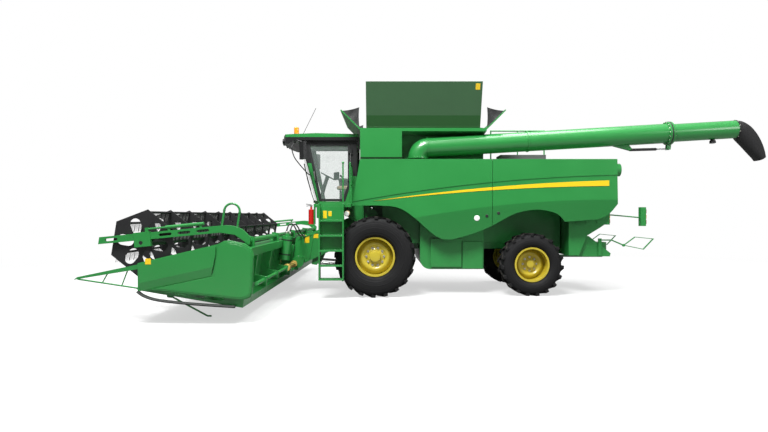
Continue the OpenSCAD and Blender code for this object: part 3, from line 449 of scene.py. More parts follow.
def woven(name, colour, pitch=0.006, roughness=0.85):
    s = weaveSettings
    made, wire, where = startMaterial(name)
    x, y, z = axes(wire, where)
    turn = 2 * math.pi / pitch
    warp, weft = [wave((value + z * s["lean"]) * turn) for value in (x, y)]
    weave = (warp * weft) * 0.5 + 0.5
    patch = noise(wire, where, s["patchScale"], 4.0)
    body = patchy(weave * s["weaveShare"] + patch * s["patchShare"], colour, s["shades"])
    normal = bump(wire, weave, s["strength"], s["depth"])
    closeMaterial(wire, {"Base Color": body, "Roughness": roughness + patch * s["roughSpread"],
                         "Normal": normal, "Sheen Weight": s["sheen"]})
    return made


lensSettings = {"ridges": 900.0, "shades": (0.8, 1.1), "roughness": 0.08, "strength": 0.3, "depth": 0.001}


def lampLens(name, colour, glow):
    s = lensSettings
    made, wire, where = startMaterial(name)
    y, z = axes(wire, where)[1:]
    ridges = wave((y + z) * s["ridges"])
    body = patchy(ridges * 0.5 + 0.5, colour, s["shades"])
    normal = bump(wire, ridges, s["strength"], s["depth"])
    closeMaterial(wire, {"Base Color": body, "Roughness": s["roughness"], "Normal": normal,
                         "Coat Weight": 1.0, "Emission Color": body, "Emission Strength": glow})
    return made


# Side panels carry a tapering yellow stripe below a dark crease, with a painted shadow line under the stripe
# and painted shade below the lower crease

stripeSettings = {
    # three points of each edge
    "lower": [(-0.05, 2.303), (2.826, 2.566), (5.668, 2.670)],
    "upper": [(-0.05, 2.303), (2.826, 2.639), (5.668, 2.803)],
    "shadow": 0.012,         # dark line under the strip
    "shadowShade": 0.25,
    "paintedShadeTuck": [(1.326, 1.964), (2.870, 2.187), (5.873, 2.342)],   # the panel leans in below this, and its colour is darkened there as painted shade
    "tuckPaintedShadeEdge": (-0.02, 0.01),
    "tuckPaintedShade": 0.72,
}


# height of the parabola through three points
def bowed(along, points):
    (x0, z0), (x1, z1), (x2, z2) = points
    slope = (z2 - z0) / (x2 - x0)
    bend = (z1 - z0 - slope * (x1 - x0)) / ((x1 - x0) * (x1 - x2))
    return z0 + (along - x0) * slope + (along - x0) * (along - x2) * bend


def stripe(wire, x, y, z, body):
    s = stripeSettings
    along = x - axle.x
    lower = bowed(along, s["lower"])
    upper = bowed(along, s["upper"])
    within = (along > s["lower"][0][0]) * (along < s["lower"][2][0])
    # painted shade below the lower crease, standing in for the shade of the panel's lean
    paintedShadeTuck = 1 - softStep(z - bowed(along, s["paintedShadeTuck"]), *s["tuckPaintedShadeEdge"])
    body = mixColour(paintedShadeTuck, body, shade(paintSettings["green"], s["tuckPaintedShade"]))
    shadow = within * (z > lower - s["shadow"]) * (z < lower)
    body = mixColour(shadow, body, shade(paintSettings["green"], s["shadowShade"]))
    return mixColour(within * (z > lower) * (z < upper), body, (*paintSettings["yellow"], 1.0))


# The cab roof is black below its green skin, and so is the aerial above it

roofSettings = {"skinHeight": 3.935, "topHeight": 4.042, "black": (0.012, 0.012, 0.013, 1.0)}


def roofBand(wire, x, y, z, body):
    s = roofSettings
    return mixColour((z < s["skinHeight"]) + (z > s["topHeight"]), body, s["black"])


# The tall flaps are painted dull grey-green above as a painted reflection, over a darker green foot painted
# as shade

flapSettings = {
    "paintedShadeHeight": 4.385,
    "paintedShadeEdge": 0.015,
    # the foot's colour is painted shade
    "foot": (0.002, 0.075, 0.004, 1.0),
    # the upper colour is a painted reflection
    "skin": (0.032, 0.108, 0.038, 1.0),
    "skinScale": 2.0,
    "skinShades": (0.9, 1.1),
}


def flapLightAndShade(wire, x, y, z, body):
    s = flapSettings
    cloud = noise(wire, wire.add("ShaderNodeTexCoord", out="Object"), s["skinScale"], 4.0)
    skin = patchy(cloud, s["skin"], s["skinShades"])
    return mixColour(softStep(z, s["paintedShadeHeight"] - s["paintedShadeEdge"], s["paintedShadeHeight"]), s["foot"], skin)


# The cab's posts are green at the foot and black above

postSettings = {"split": -1.05, "front": 3.28, "rear": 2.95}


def postBand(wire, x, y, z, body):
    s = postSettings
    ahead = x - axle.x < s["split"]
    upper = ahead * (z > s["front"]) + (1 - ahead) * (z > s["rear"])
    return mixColour(upper, body, roofSettings["black"])


# A painted shadow line on the tank's side stands for the shaded gap between it and the panels below

gapShadowSettings = {"low": 3.300, "high": 3.380, "outside": 1.38, "colour": (0.003, 0.030, 0.006, 1.0)}


def tankGapShadow(wire, x, y, z, body):
    s = gapShadowSettings
    outside = (y < -s["outside"]) + (y > s["outside"])
    return mixColour(outside * (z > s["low"]) * (z < s["high"]), body, s["colour"])


def makeFinishes():
    p = paintSettings
    return {
        "green": paint("greenPaint", p["green"]),
        "panel": paint("panelPaint", p["green"], trim=stripe),
        "roof": paint("roofPaint", p["green"], trim=roofBand),
        # flaps: painted reflection above, painted shade at the foot
        "flap": paint("flapPaintWithLight", p["green"], 0.45, trim=flapLightAndShade),
        "post": paint("postPaint", p["green"], 0.42, trim=postBand),
        # the tank carries a painted shadow line above the side panels
        "tank": paint("tankPaint", p["green"], trim=tankGapShadow),
        "yellow": paint("yellowPaint", p["yellow"], 0.35),
        # rims and hub covers wear the yellow darkened as painted shade
        "rim": paint("rimShadedPaint", p["rimYellowPaintedShade"], 0.38),
        "red": paint("redPaint", p["red"], 0.25),
        "black": plastic("blackTrim", (0.012, 0.012, 0.013)),
        "engineGrey": plastic("engineGrey", (0.10, 0.105, 0.105), 0.55, 90.0, 0.002),
        "guard": plastic("shaftGuard", (0.62, 0.43, 0.11)),
        "dark": plastic("darkFrame", (0.022, 0.026, 0.023), 0.55, 200.0),
        "grey": plastic("greyTrim", (0.16, 0.16, 0.155), 0.6),
        "white": plastic("whiteDisc", (0.80, 0.80, 0.79), 0.4),
        "tan": plastic("tanHousing", (0.55, 0.42, 0.24)),
        "tine": plastic("tinePlastic", (0.20, 0.20, 0.195)),
        "boot": plastic("spoutRubber", (0.006, 0.006, 0.0065), 0.7, 120.0, 0.0015),
        "bare": steel("bareSteel", (0.55, 0.55, 0.54)),
        "zinc": steel("zincPlate", (0.62, 0.61, 0.56), 0.38),
        "chrome": steel("chrome", (0.75, 0.75, 0.76), 0.12),
        "pane": glass("glazing"),
        "vinyl": woven("cornerVinyl", (0.016, 0.017, 0.017), 0.010, 0.6),
        "cloth": woven("seatCloth", (0.42, 0.31, 0.19), 0.007),
        "lens": lampLens("lampGlass", (0.85, 0.86, 0.85), 0.15),
        "amber": lampLens("amberLens", (0.90, 0.30, 0.02), 0.25),
        "redLens": lampLens("redLens", (0.55, 0.012, 0.010), 0.10),
    }


# Which finish each node gets: the others are green

nodeFinishes = {
    "post": ["cab_shell"],
    "tank": ["grain_tank"],
    "flap": ["flap_left", "flap_right"],
    "roof": ["cab_roof"],
    "panel": ["side_panel_left_front", "side_panel_left_rear", "side_panel_right_front",
              "side_panel_right_rear"],
    "rim": [name for name in nodes if "_rim_" in name],
    "red": ["fire_extinguisher"],
    "black": ["cab_door", "mirrors", "reel", "lift_barrels", "unloading_spout", "gussets_front",
              "gussets_rear", "cab_seat"],
    "engineGrey": ["engine"],
    "guard": ["drive_shaft"],
    "bare": ["lift_rods", "cutterbar"],
    "pane": ["cab_glass", "cab_door_glass"],
}


def dressNodes():
    for name in nodes:
        setFinish(nodes[name], finishes["green"])
        if "_tyre_" in name:
            setFinish(nodes[name], tyreRubber("rubber_" + name, name))
    for kind, names in nodeFinishes.items():
        for name in names:
            setFinish(nodes[name], finishes[kind])


# Mesh tools: each returns points and faces

def loft(rings, startCap=True, endCap=True):
    n = len(rings[0])
    points = [Vector(p) for ring in rings for p in ring]
    faces = [(i * n + k, i * n + (k + 1) % n, (i + 1) * n + (k + 1) % n, (i + 1) * n + k)
             for i in range(len(rings) - 1) for k in range(n)]
    if startCap:
        faces.append(tuple(range(n))[::-1])
    if endCap:
        faces.append(tuple(range(len(points) - n, len(points))))
    return points, faces


def circle(middle, side, up, radius, count):
    turns = [2 * math.pi * k / count for k in range(count)]
    return [middle + (side * math.cos(a) + up * math.sin(a)) * radius for a in turns]


# a profile of (radius, distance along the axis) turned about the axis
def turned(profile, place, axis, count=40):
    along = Vector(axis).normalized()
    side = along.orthogonal().normalized()
    up = along.cross(side)
    return loft([circle(Vector(place) + along * h, side, up, max(r, 0.0005), count) for r, h in profile])


def smoothPath(points, steps=8):
    p = [Vector(q) for q in points]
    path = []
    for i in range(len(p) - 1):
        a, b, c, d = p[max(i - 1, 0)], p[i], p[i + 1], p[min(i + 2, len(p) - 1)]
        for k in range(steps):
            t = k / steps
            path.append(0.5 * (2 * b + (c - a) * t + (2 * a - 5 * b + 4 * c - d) * t ** 2
                               + (3 * b - a - 3 * c + d) * t ** 3))
    return path + [p[-1]]


def axlePath(points, steps=8):
    return smoothPath([fromAxle(*p) for p in points], steps)


# a tube along a path, round unless flat gives a second radius
def tube(path, radius, count=14, flat=None):
    p = [Vector(q) for q in path]
    side = None
    rings = []
    for i, middle in enumerate(p):
        ahead = (p[min(i + 1, len(p) - 1)] - p[max(i - 1, 0)]).normalized()
        side = side or (rightward if abs(ahead.y) < 0.9 else upward)
        side = (side - ahead * side.dot(ahead)).normalized()
        rings.append(circle(middle, side * (flat / radius if flat else 1), ahead.cross(side), radius, count))
    return loft(rings)


def roundedRing(place, right, up, width, height, corner, steps=4):
    ring = []
    for cx, cy, first in ((1, 1, 0), (-1, 1, 90), (-1, -1, 180), (1, -1, 270)):
        for k in range(steps + 1):
            a = math.radians(first + 90 * k / steps)
            ring.append(place + right * (cx * (width / 2 - corner) + corner * math.cos(a))
                        + up * (cy * (height / 2 - corner) + corner * math.sin(a)))
    return ring


# a thin plate with round corners and a soft front edge
def plate(place, right, up, width, height, thick, corner):
    place, right, up = Vector(place), Vector(right).normalized(), Vector(up).normalized()
    out = right.cross(up)
    soft = min(thick * 0.4, corner * 0.5)
    rings = [roundedRing(place + out * rise, right, up, width, height, corner) for rise in (0, thick - soft)]
    front = (width - 2 * soft, height - 2 * soft, corner - soft)
    rings.append(roundedRing(place + out * thick, right, up, *front))
    return loft(rings)


# an outline in the XZ plane given thickness along Y
def sidePlate(outline, y0, y1):
    return loft([[Vector((x, y, z)) for x, z in outline] for y in (y0, y1)])


def joined(shapes):
    points = []
    faces = []
    for some, their in shapes:
        faces += [tuple(i + len(points) for i in face) for face in their]
        points += some
    return points, faces


def mirrored(shape):
    return [Vector((p.x, -p.y, p.z)) for p in shape[0]], shape[1]


def placed(shape, middle, turn=None):
    at = fromAxle(*middle)
    return [at + (turn @ p if turn else p) for p in shape[0]], shape[1]


# A piece made from points and faces, given its finish and fixed to its body


def addPiece(name, shape, kind, body, sharp=32):
    mesh = bpy.data.meshes.new(name)
    mesh.from_pydata([tuple(p) for p in shape[0]], [], shape[1])
    form = bmesh.new()
    form.from_mesh(mesh)
    bmesh.ops.recalc_face_normals(form, faces=form.faces)
    form.to_mesh(mesh)
    form.free()
    mesh.shade_smooth()
    mesh.set_sharp_from_angle(angle=math.radians(sharp))
    piece = bpy.data.objects.new(name, mesh)
    bpy.context.scene.collection.objects.link(piece)
    setFinish(piece, finishes[kind])
    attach(piece, body)
    return piece


# Wheel nuts and hub covers

wheelSettings = {
    "front": {
        "disc": 0.150,
        "bolts": 10,
        "boltRadius": 0.210,
        "cover": [(0.163, -0.002), (0.163, 0.012), (0.136, 0.017), (0.131, 0.060), (0.122, 0.074),
                  (0.070, 0.082), (0.0, 0.084)],
    },
    "rear": {
        "disc": -0.040,
        "bolts": 8,
        "boltRadius": 0.160,
        "cover": [(0.126, -0.002), (0.126, 0.010), (0.096, 0.014), (0.092, 0.064), (0.084, 0.078),
                  (0.040, 0.085), (0.0, 0.086)],
    },
    "sunk": 0.014,           # the bolt ring lies this far below the hub seat
    "washer": [(0.031, -0.001), (0.031, 0.004), (0.024, 0.006)],
    "nut": [(0.023, 0.004), (0.023, 0.022), (0.019, 0.027), (0.012, 0.027), (0.012, 0.040), (0.009, 0.042),
            (0.0, 0.042)],
    "coverBolts": 8,
    "coverBoltInset": 0.014,
    "coverBolt": [(0.009, -0.002), (0.009, 0.006), (0.007, 0.008), (0.0, 0.008)],
}


def addWheels():
    s = wheelSettings
    for end in ("front", "rear"):
        w = s[end]
        for side, sign in sides:
            lo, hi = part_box(f"{end}_rim_{side}")
            out = Vector((0, sign, 0))
            seat = (lo + hi) / 2 + out * w["disc"]
            body = f"wheel_{end}_{side}"
            nuts = []
            for k in range(w["bolts"]):
                a = 2 * math.pi * k / w["bolts"]
                spot = seat - out * s["sunk"] + Vector((math.cos(a), 0, math.sin(a))) * w["boltRadius"]
                nuts += [turned(s["washer"], spot, out, 20), turned(s["nut"], spot, out, 6)]
            addPiece(f"wheelNuts_{end}_{side}", joined(nuts), "zinc", body)
            cover = [turned(w["cover"], seat, out, 48)]
            flange, rise = w["cover"][1]
            for k in range(s["coverBolts"]):
                a = 2 * math.pi * (k + 0.5) / s["coverBolts"]
                reach = flange - s["coverBoltInset"]
                spot = seat + Vector((math.cos(a), 0, math.sin(a))) * reach + out * rise
                cover.append(turned(s["coverBolt"], spot, out, 6))
            addPiece(f"hubCover_{end}_{side}", joined(cover), "rim", body)


# Rubber spout at the end of the unloading tube

spoutSettings = {
    "across": -1.28,
    # top and bottom edge of each ring seen from the side, half width, squareness
    "rings": [((8.886, 4.305), (8.912, 3.868), 0.220, 2.0), ((9.050, 4.285), (8.950, 3.800), 0.218, 2.1),
              ((9.230, 4.180), (9.060, 3.690), 0.212, 2.3), ((9.380, 4.000), (9.185, 3.565), 0.205, 2.6),
              ((9.495, 3.780), (9.295, 3.458), 0.198, 2.9), ((9.565, 3.560), (9.385, 3.375), 0.192, 3.1),
              ((9.588, 3.400), (9.450, 3.305), 0.188, 3.2)],
    "steps": 4,
    "wall": 0.016,
    "innerFrom": 6,          # the mouth is hollow from this ring on
    "count": 40,
    "clamp": [(0, 0.002), (0, 0.010), (1, 0.010), (1, 0.002)],      # ring and how far it stands out
    "boltEvery": 4,
    "bolt": [(0.014, 0.004), (0.014, 0.014), (0.010, 0.018), (0.0, 0.018)],
}


def spoutRing(top, bottom, half, power, inset=0.0):
    s = spoutSettings
    top = fromAxle(top[0], s["across"], top[1])
    bottom = fromAxle(bottom[0], s["across"], bottom[1])
    middle = (top + bottom) / 2
    reach = (top - bottom) / 2
    reach = reach * (1 - inset / reach.length)
    ring = []
    for k in range(s["count"]):
        a = 2 * math.pi * k / s["count"]
        c = math.copysign(abs(math.cos(a)) ** (2 / power), math.cos(a))
        d = math.copysign(abs(math.sin(a)) ** (2 / power), math.sin(a))
        ring.append(middle + reach * c + Vector((0, (half - inset) * d, 0)))
    return ring


def addSpout():
    s = spoutSettings
    tops = smoothPath([(top[0], 0, top[1]) for top, low, half, power in s["rings"]], s["steps"])
    lows = smoothPath([(low[0], 0, low[1]) for top, low, half, power in s["rings"]], s["steps"])
    rest = smoothPath([(half, power, 0) for top, low, half, power in s["rings"]], s["steps"])
    spans = [((t.x, t.z), (b.x, b.z), r.x, r.y) for t, b, r in zip(tops, lows, rest)]
    outer = [spoutRing(*span) for span in spans]
    inner = [spoutRing(*span, s["wall"]) for span in reversed(spans[s["innerFrom"]:])]
    spout = addPiece("spoutBoot", loft(outer + inner), "boot", "unloader", sharp=50)
    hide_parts("unloading_spout")
    collar = [spoutRing(*spans[i], -grow) for i, grow in s["clamp"]]
    addPiece("spoutClamp", loft(collar, False, False), "black", "unloader")
    bolts = []
    for k in range(0, s["count"], s["boltEvery"]):
        spot = (Vector(outer[1][k]) + Vector(outer[0][k])) / 2
        out = (spot - (sum(outer[0], Vector()) / s["count"])).normalized()
        bolts.append(turned(s["bolt"], spot, out, 8))
    addPiece("spoutBolts", joined(bolts), "zinc", "unloader")


# Unloading tube: joint band, folding cylinder and lamp

tubeSettings = {
    "start": (1.05, -1.28, 3.62),    # elbow
    "slope": 3.4,
    "radius": 0.24,
    "fold": 6.209,           # along the tube
    "foldRadius": 0.285,
    "band": [(-0.01, -0.018), (0.004, -0.014), (0.004, 0.014), (-0.01, 0.018)],    # over the fold radius
    "bolts": 16,
    "boltInset": 0.02,
    "boltApart": 0.06,
    "bolt": [(0.013, -0.003), (0.013, 0.010), (0.010, 0.014), (0.0, 0.014)],
    "base": 1.30,            # the folding cylinder's bracket, ahead of the fold
    # along the tube and down from its middle
    "wedge": [(-0.10, 0.232), (0.33, 0.375), (0.38, 0.345), (0.30, 0.232)],
    "lug": [(-0.055, 0.275), (0.045, 0.275), (0.02, 0.41), (-0.08, 0.41)],
    "wedgePin": (0.35, 0.355),
    "lugPin": (-0.05, 0.385),
    "webs": (-0.045, 0.031),
    "webThick": 0.014,
    "barrel": [(0.020, -0.03), (0.034, -0.025), (0.034, 0.62), (0.026, 0.64), (0.020, 0.64)],
    "pin": [(0.016, -0.055), (0.016, 0.055)],
    "rodRadius": 0.017,
    "lampAt": 7.30,
    "lampSunk": 0.025,
    "lamp": [(0.05, 0.0), (0.05, 0.02), (0.07, 0.035), (0.075, 0.09), (0.066, 0.098), (0.0, 0.092)],
    "lens": [(0.064, 0.094), (0.058, 0.102), (0.03, 0.108), (0.0, 0.109)],
}


def addTubeFittings():
    s = tubeSettings
    turn = math.radians(s["slope"])
    along = Vector((math.cos(turn), 0, math.sin(turn)))
    down = Vector((math.sin(turn), 0, -math.cos(turn)))
    start = fromAxle(*s["start"])
    joint = start + along * s["fold"]
    r = s["foldRadius"]
    band = turned([(r + grow, h) for grow, h in s["band"]], joint, along, 64)
    addPiece("jointBand", band, "black", "unloader")
    bolts = []
    for off in circle(Vector(), rightward, down, r - s["boltInset"], s["bolts"]):
        for sign in (-1, 1):
            spot = joint + off + along * (s["boltApart"] * sign)
            bolts.append(turned(s["bolt"], spot, along * sign, 6))
    addPiece("jointBolts", joined(bolts), "zinc", "unloader")
    # folding cylinder under the tube, between a wedge bracket and a lug on the joint ring
    base = joint - along * s["base"]
    wedge = [base + along * far + down * low for far, low in s["wedge"]]
    lug = [joint + along * far + down * low for far, low in s["lug"]]
    webs = [sidePlate([(p.x, p.z) for p in outline], start.y + y, start.y + y + s["webThick"])
            for outline in (wedge, lug) for y in s["webs"]]
    addPiece("foldBrackets", joined(webs), "green", "unloader")
    back = base + along * s["wedgePin"][0] + down * s["wedgePin"][1]
    front = joint + along * s["lugPin"][0] + down * s["lugPin"][1]
    way = (front - back).normalized()
    pins = [turned(s["pin"], spot, rightward, 16) for spot in (back, front)]
    addPiece("foldBarrel", joined([turned(s["barrel"], back, way, 28)] + pins), "black", "unloader")
    rod = turned([(s["rodRadius"], 0.0), (s["rodRadius"], (front - back).length)], back, way, 20)
    addPiece("foldRod", rod, "chrome", "unloader")
    lampTop = start + along * s["lampAt"] + down * (s["radius"] - s["lampSunk"])
    addPiece("tubeLamp", turned(s["lamp"], lampTop, down, 32), "black", "unloader")
    addPiece("tubeLampLens", turned(s["lens"], lampTop, down, 32), "lens", "unloader")


# Corner cloths between the end flaps and the side flaps

clothSettings = {
    # hinge end, flap end and free corner
    "front": [(-0.390, 4.112), (-0.810, 4.527), (-0.395, 4.615)],
    "rear": [(2.742, 4.116), (3.159, 4.527), (2.745, 4.615)],
    "across": 1.396,
    "rows": 22,
    "scallop": 0.030,        # the free edges draw in between their ends
    "scallopSpan": 0.3,
    "fold": 0.012,
    "waves": (14, 5),
    "flatSpare": 1.02,
    "keep": 0.01,
}


# number of the point in row i, place j
def clothPoint(i, j):
    return sum(clothSettings["rows"] + 1 - k for k in range(i)) + j


def clothShape(a, b, c, sign):
    s = clothSettings
    rows = s["rows"]
    inside = (a + b + c) / 3
    points = []
    faces = []
    for i in range(rows + 1):
        for j in range(rows + 1 - i):
            u, v = i / rows, j / rows
            w = 1 - u - v
            p = a * w + b * v + c * u
            edge = 4 * u * max(w, v) if min(w, v) < 1e-6 else 0
            p = p + (inside - p) * edge * s["scallop"] / s["scallopSpan"]
            loose = 27 * u * v * w
            p.y += sign * -s["fold"] * loose * (1 + math.sin(s["waves"][0] * v + s["waves"][1] * u))
            points.append(p)
    for i in range(rows):
        for j in range(rows - i):
            faces.append((clothPoint(i, j), clothPoint(i, j + 1), clothPoint(i + 1, j)))
            if j < rows - i - 1:
                faces.append((clothPoint(i, j + 1), clothPoint(i + 1, j + 1), clothPoint(i + 1, j)))
    return points, faces


def addCloths():
    s = clothSettings
    for end in ("front", "rear"):
        for side, sign in sides:
            a, b, c = [fromAxle(x, sign * s["across"], z) for x, z in s[end]]
            flap = f"flap_{end}"
            cloth = addPiece(f"cornerCloth_{end}_{side}", clothShape(a, b, c, sign), "vinyl", flap, sharp=80)
            if side == "left":
                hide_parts(f"gussets_{end}")
            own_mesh(cloth)


# Driver's seat

seatSettings = {
    "cushion": {"middle": (-0.805, 0.0, 2.690), "half": (0.245, 0.275, 0.068)},
    "back": {"middle": (-0.615, 0.0, 3.045), "half": (0.290, 0.270, 0.052)},
    "backTurn": -84,
    "squareness": 4.5,
    "crown": 0.20,
    "channels": [-0.42, 0.42],
    "channelWidth": 0.05,
    "channelDepth": 0.16,
    "pull": 0.035,           # the sides draw in at mid length
    "cuts": 21,
    "stuffing": 0.8,
    "bellows": {"foot": (-0.79, 0, 2.295), "step": 0.026, "rings": 13, "size": (0.40, 0.44), "valley": 0.88,
                "corner": 0.06},
    "shell": {"place": (-0.572, 0, 3.03), "up": (0.10, 0, 1), "size": (0.50, 0.52, 0.012, 0.08)},
    "arm": [(-0.60, 0.30, 2.86), (-0.72, 0.31, 2.90), (-0.92, 0.31, 2.91), (-1.00, 0.31, 2.90)],
    "armHalf": (0.028, 0.045),
}


# a stuffed pad in a box of half sizes, crowned on its upper face and sewn down along channels
def stuffed(half):
    s = seatSettings
    form = bmesh.new()
    bmesh.ops.create_cube(form, size=2.0)
    bmesh.ops.subdivide_edges(form, edges=form.edges[:], cuts=s["cuts"], use_grid_fill=True)
    p = s["squareness"]
    points = []
    for vert in form.verts:
        x, y, z = vert.co
        x, y, z = vert.co / (abs(x) ** p + abs(y) ** p + abs(z) ** p) ** (1 / p)
        top = max(0.0, z)
        sewn = sum(math.exp(-((y - at) / s["channelWidth"]) ** 2) for at in s["channels"])
        dome = top * s["crown"] * (1 - x * x) * (1 - y * y)
        z = z * (1 - s["crown"]) + dome - top * s["channelDepth"] * sewn
        pull = 1 - s["pull"] * (1 - x * x) * (1 - z * z)
        points.append(Vector((x * half[0], y * half[1] * pull, z * half[2])))
    form.verts.index_update()
    faces = [tuple(v.index for v in face.verts) for face in form.faces]
    form.free()
    return points, faces


def addSeat():
    s = seatSettings
    upright = Matrix.Rotation(math.radians(s["backTurn"]), 3, "Y")
    for name, part, turn in (("seatCushion", s["cushion"], None), ("seatBack", s["back"], upright)):
        shape = placed(stuffed(part["half"]), part["middle"], turn)
        addPiece(name, shape, "cloth", "chassis", sharp=80)
    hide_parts("cab_seat")
    b = s["bellows"]
    x, y, z = b["foot"]
    rings = []
    for k in range(b["rings"]):
        size = 1.0 if k % 2 else b["valley"]
        long, wide = b["size"][0] * size, b["size"][1] * size
        spot = fromAxle(x, y, z + k * b["step"])
        rings.append(roundedRing(spot, rearward, rightward, long, wide, b["corner"]))
    addPiece("seatBellows", loft(rings), "black", "chassis", sharp=20)
    shell = plate(fromAxle(*s["shell"]["place"]), rightward, s["shell"]["up"], *s["shell"]["size"])
    addPiece("seatShell", shell, "black", "chassis")
    for name, sign in (("seatArmLeft", -1), ("seatArmRight", 1)):
        arm = axlePath([(x, sign * y, z) for x, y, z in s["arm"]])
        addPiece(name, tube(arm, s["armHalf"][0], 18, s["armHalf"][1]), "black", "chassis")


# Steering wheel, column, console, lever and monitor

controlSettings = {
    "wheelMiddle": (-1.300, 0.0, 3.010),
    "wheelRadius": 0.200,
    "wheelTilt": 28,
    "grip": 0.014,
    "spoke": {"foot": 0.03, "bend": 0.012, "bendAt": 0.09, "half": (0.010, 0.020)},
    "boss": [(0.05, -0.06), (0.055, -0.02), (0.045, -0.005), (0.0, 0.0)],
    "columnFoot": (-1.500, 0.0, 2.300),
    "columnBow": (-0.02, 0, 0),
    "columnTop": 0.04,
    "columnHalf": (0.050, 0.070),
    "consolePlace": (-0.80, 0.52),
    "consoleCorner": 0.04,
    # height, length and width of each ring
    "console": [(2.295, 0.30, 0.16), (2.70, 0.34, 0.17), (2.84, 0.42, 0.18), (2.90, 0.44, 0.18),
                (2.915, 0.41, 0.15)],
    "lever": [(-0.93, 0.50, 2.90), (-0.95, 0.50, 2.99), (-0.985, 0.49, 3.05)],
    "leverRadius": 0.010,
    "knob": [(0.012, -0.04), (0.026, -0.02), (0.030, 0.01), (0.020, 0.035), (0.0, 0.040)],
    "post": [(-1.02, 0.74, 2.60), (-1.05, 0.72, 2.95), (-1.12, 0.66, 3.06)],
    "postRadius": 0.018,
    "screenPlace": (-1.135, 0.64, 3.06),
    "screenRight": (-0.5, 0.85, 0),
    "screenSize": (0.30, 0.22, 0.035, 0.02),
}


def addControls():
    s = controlSettings
    middle = fromAxle(*s["wheelMiddle"])
    foot = fromAxle(*s["columnFoot"])
    tilt = math.radians(s["wheelTilt"])
    out = Vector((math.sin(tilt), 0, math.cos(tilt)))
    up = out.cross(rightward)
    hoop = circle(middle, rightward, up, s["wheelRadius"], 56)
    parts = [tube(hoop + hoop[:1], s["grip"], 12), turned(s["boss"], middle, out, 28)]
    b = s["spoke"]
    for spoke in (rightward, -rightward, up):
        line = [middle - out * b["foot"], middle - out * b["bend"] + spoke * b["bendAt"],
                middle + spoke * s["wheelRadius"]]
        parts.append(tube(smoothPath(line, 5), b["half"][0], 10, b["half"][1]))
    addPiece("steeringWheel", joined(parts), "black", "chassis")
    spine = [foot, foot.lerp(middle, 0.5) + Vector(s["columnBow"]), middle - out * s["columnTop"]]
    column = tube(smoothPath(spine, 6), s["columnHalf"][0], 20, s["columnHalf"][1])
    addPiece("steeringColumn", column, "black", "chassis")
    rings = [roundedRing(fromAxle(*s["consolePlace"], z), rearward, rightward, long, wide, s["consoleCorner"])
             for z, long, wide in s["console"]]
    addPiece("sideConsole", loft(rings), "grey", "chassis")
    lever = axlePath(s["lever"], 5)
    knob = turned(s["knob"], lever[-1], lever[-1] - lever[-4], 20)
    addPiece("driveLever", joined([tube(lever, s["leverRadius"], 10), knob]), "black", "chassis")
    post = tube(axlePath(s["post"], 5), s["postRadius"], 12)
    screen = plate(fromAxle(*s["screenPlace"]), s["screenRight"], upward, *s["screenSize"])
    addPiece("monitor", joined([post, screen]), "black", "chassis")


# Lamps under the front edge of the cab roof

roofLampSettings = {
    "across": [0.26, 0.48, 0.70],
    "height": 3.868,
    "bow": (0.620, 3.060),   # middle and radius of the roof's front edge in plan
    "sunk": 0.030,
    "ahead": (-1, 0, -0.12),
    "body": [(0.058, 0.0), (0.062, 0.035), (0.062, 0.055), (0.056, 0.060), (0.052, 0.054), (0.0, 0.052)],
    "lens": [(0.051, 0.050), (0.046, 0.058), (0.026, 0.064), (0.0, 0.066)],
}


def addRoofLamps():
    s = roofLampSettings
    middle, radius = s["bow"]
    spots = [fromAxle(middle - math.sqrt(radius ** 2 - y * y) + s["sunk"], sign * y, s["height"])
             for y in s["across"] for sign in (-1, 1)]
    bodies = [turned(s["body"], spot, s["ahead"], 32) for spot in spots]
    lenses = [turned(s["lens"], spot, s["ahead"], 32) for spot in spots]
    addPiece("roofLamps", joined(bodies), "black", "chassis")
    addPiece("roofLampLenses", joined(lenses), "lens", "chassis")


beaconSettings = {
    "place": (-2.05, -0.65, 4.02),
    "base": [(0.080, -0.01), (0.080, 0.018), (0.068, 0.030), (0.064, 0.044)],
    "height": 0.150,
    "radius": 0.0615,
    "ribs": 22,
    "ribDepth": 0.0025,
    "crown": 0.030,
    "crownSteps": 8,
}


def addBeacon():
    s = beaconSettings
    spot = fromAxle(*s["place"])
    addPiece("beaconBase", turned(s["base"], spot, upward, 36), "black", "chassis")
    foot = s["base"][-1][1]
    dome = [(s["radius"] + (s["ribDepth"] if k % 2 else 0.0), foot + k * s["height"] / s["ribs"])
            for k in range(s["ribs"])]
    for k in range(1, s["crownSteps"] + 1):
        a = math.pi / 2 * k / s["crownSteps"]
        dome.append((s["radius"] * math.cos(a), foot + s["height"] + s["crown"] * math.sin(a)))
    addPiece("beaconDome", turned(dome, spot, upward, 36), "amber", "chassis", sharp=60)


mirrorSettings = {
    "place": (-1.770, -1.460, 3.545),
    "turn": 35,
    "face": 0.040,
    "size": (0.19, 0.39, 0.006, 0.03),
    "stayRadius": 0.013,
    "stay": [(-2.030, -1.300, 3.720), (-2.045, -1.440, 3.640), (-2.035, -1.460, 3.540),
             (-1.975, -1.460, 3.370), (-1.850, -1.455, 3.200), (-1.720, -1.440, 3.050),
             (-1.675, -1.250, 2.990), (-1.640, -0.915, 2.960)],
}


def addMirrors():
    s = mirrorSettings
    turn = math.radians(s["turn"])
    out = Vector((math.cos(turn), math.sin(turn), 0))
    left = plate(fromAxle(*s["place"]) + out * s["face"], upward.cross(out), upward, *s["size"])
    addPiece("mirrorGlassLeft", left, "chrome", "chassis")
    addPiece("mirrorGlassRight", mirrored(left), "chrome", "chassis")
    stay = tube(axlePath(s["stay"], 6), s["stayRadius"], 10)
    addPiece("mirrorStays", joined([stay, mirrored(stay)]), "black", "chassis")


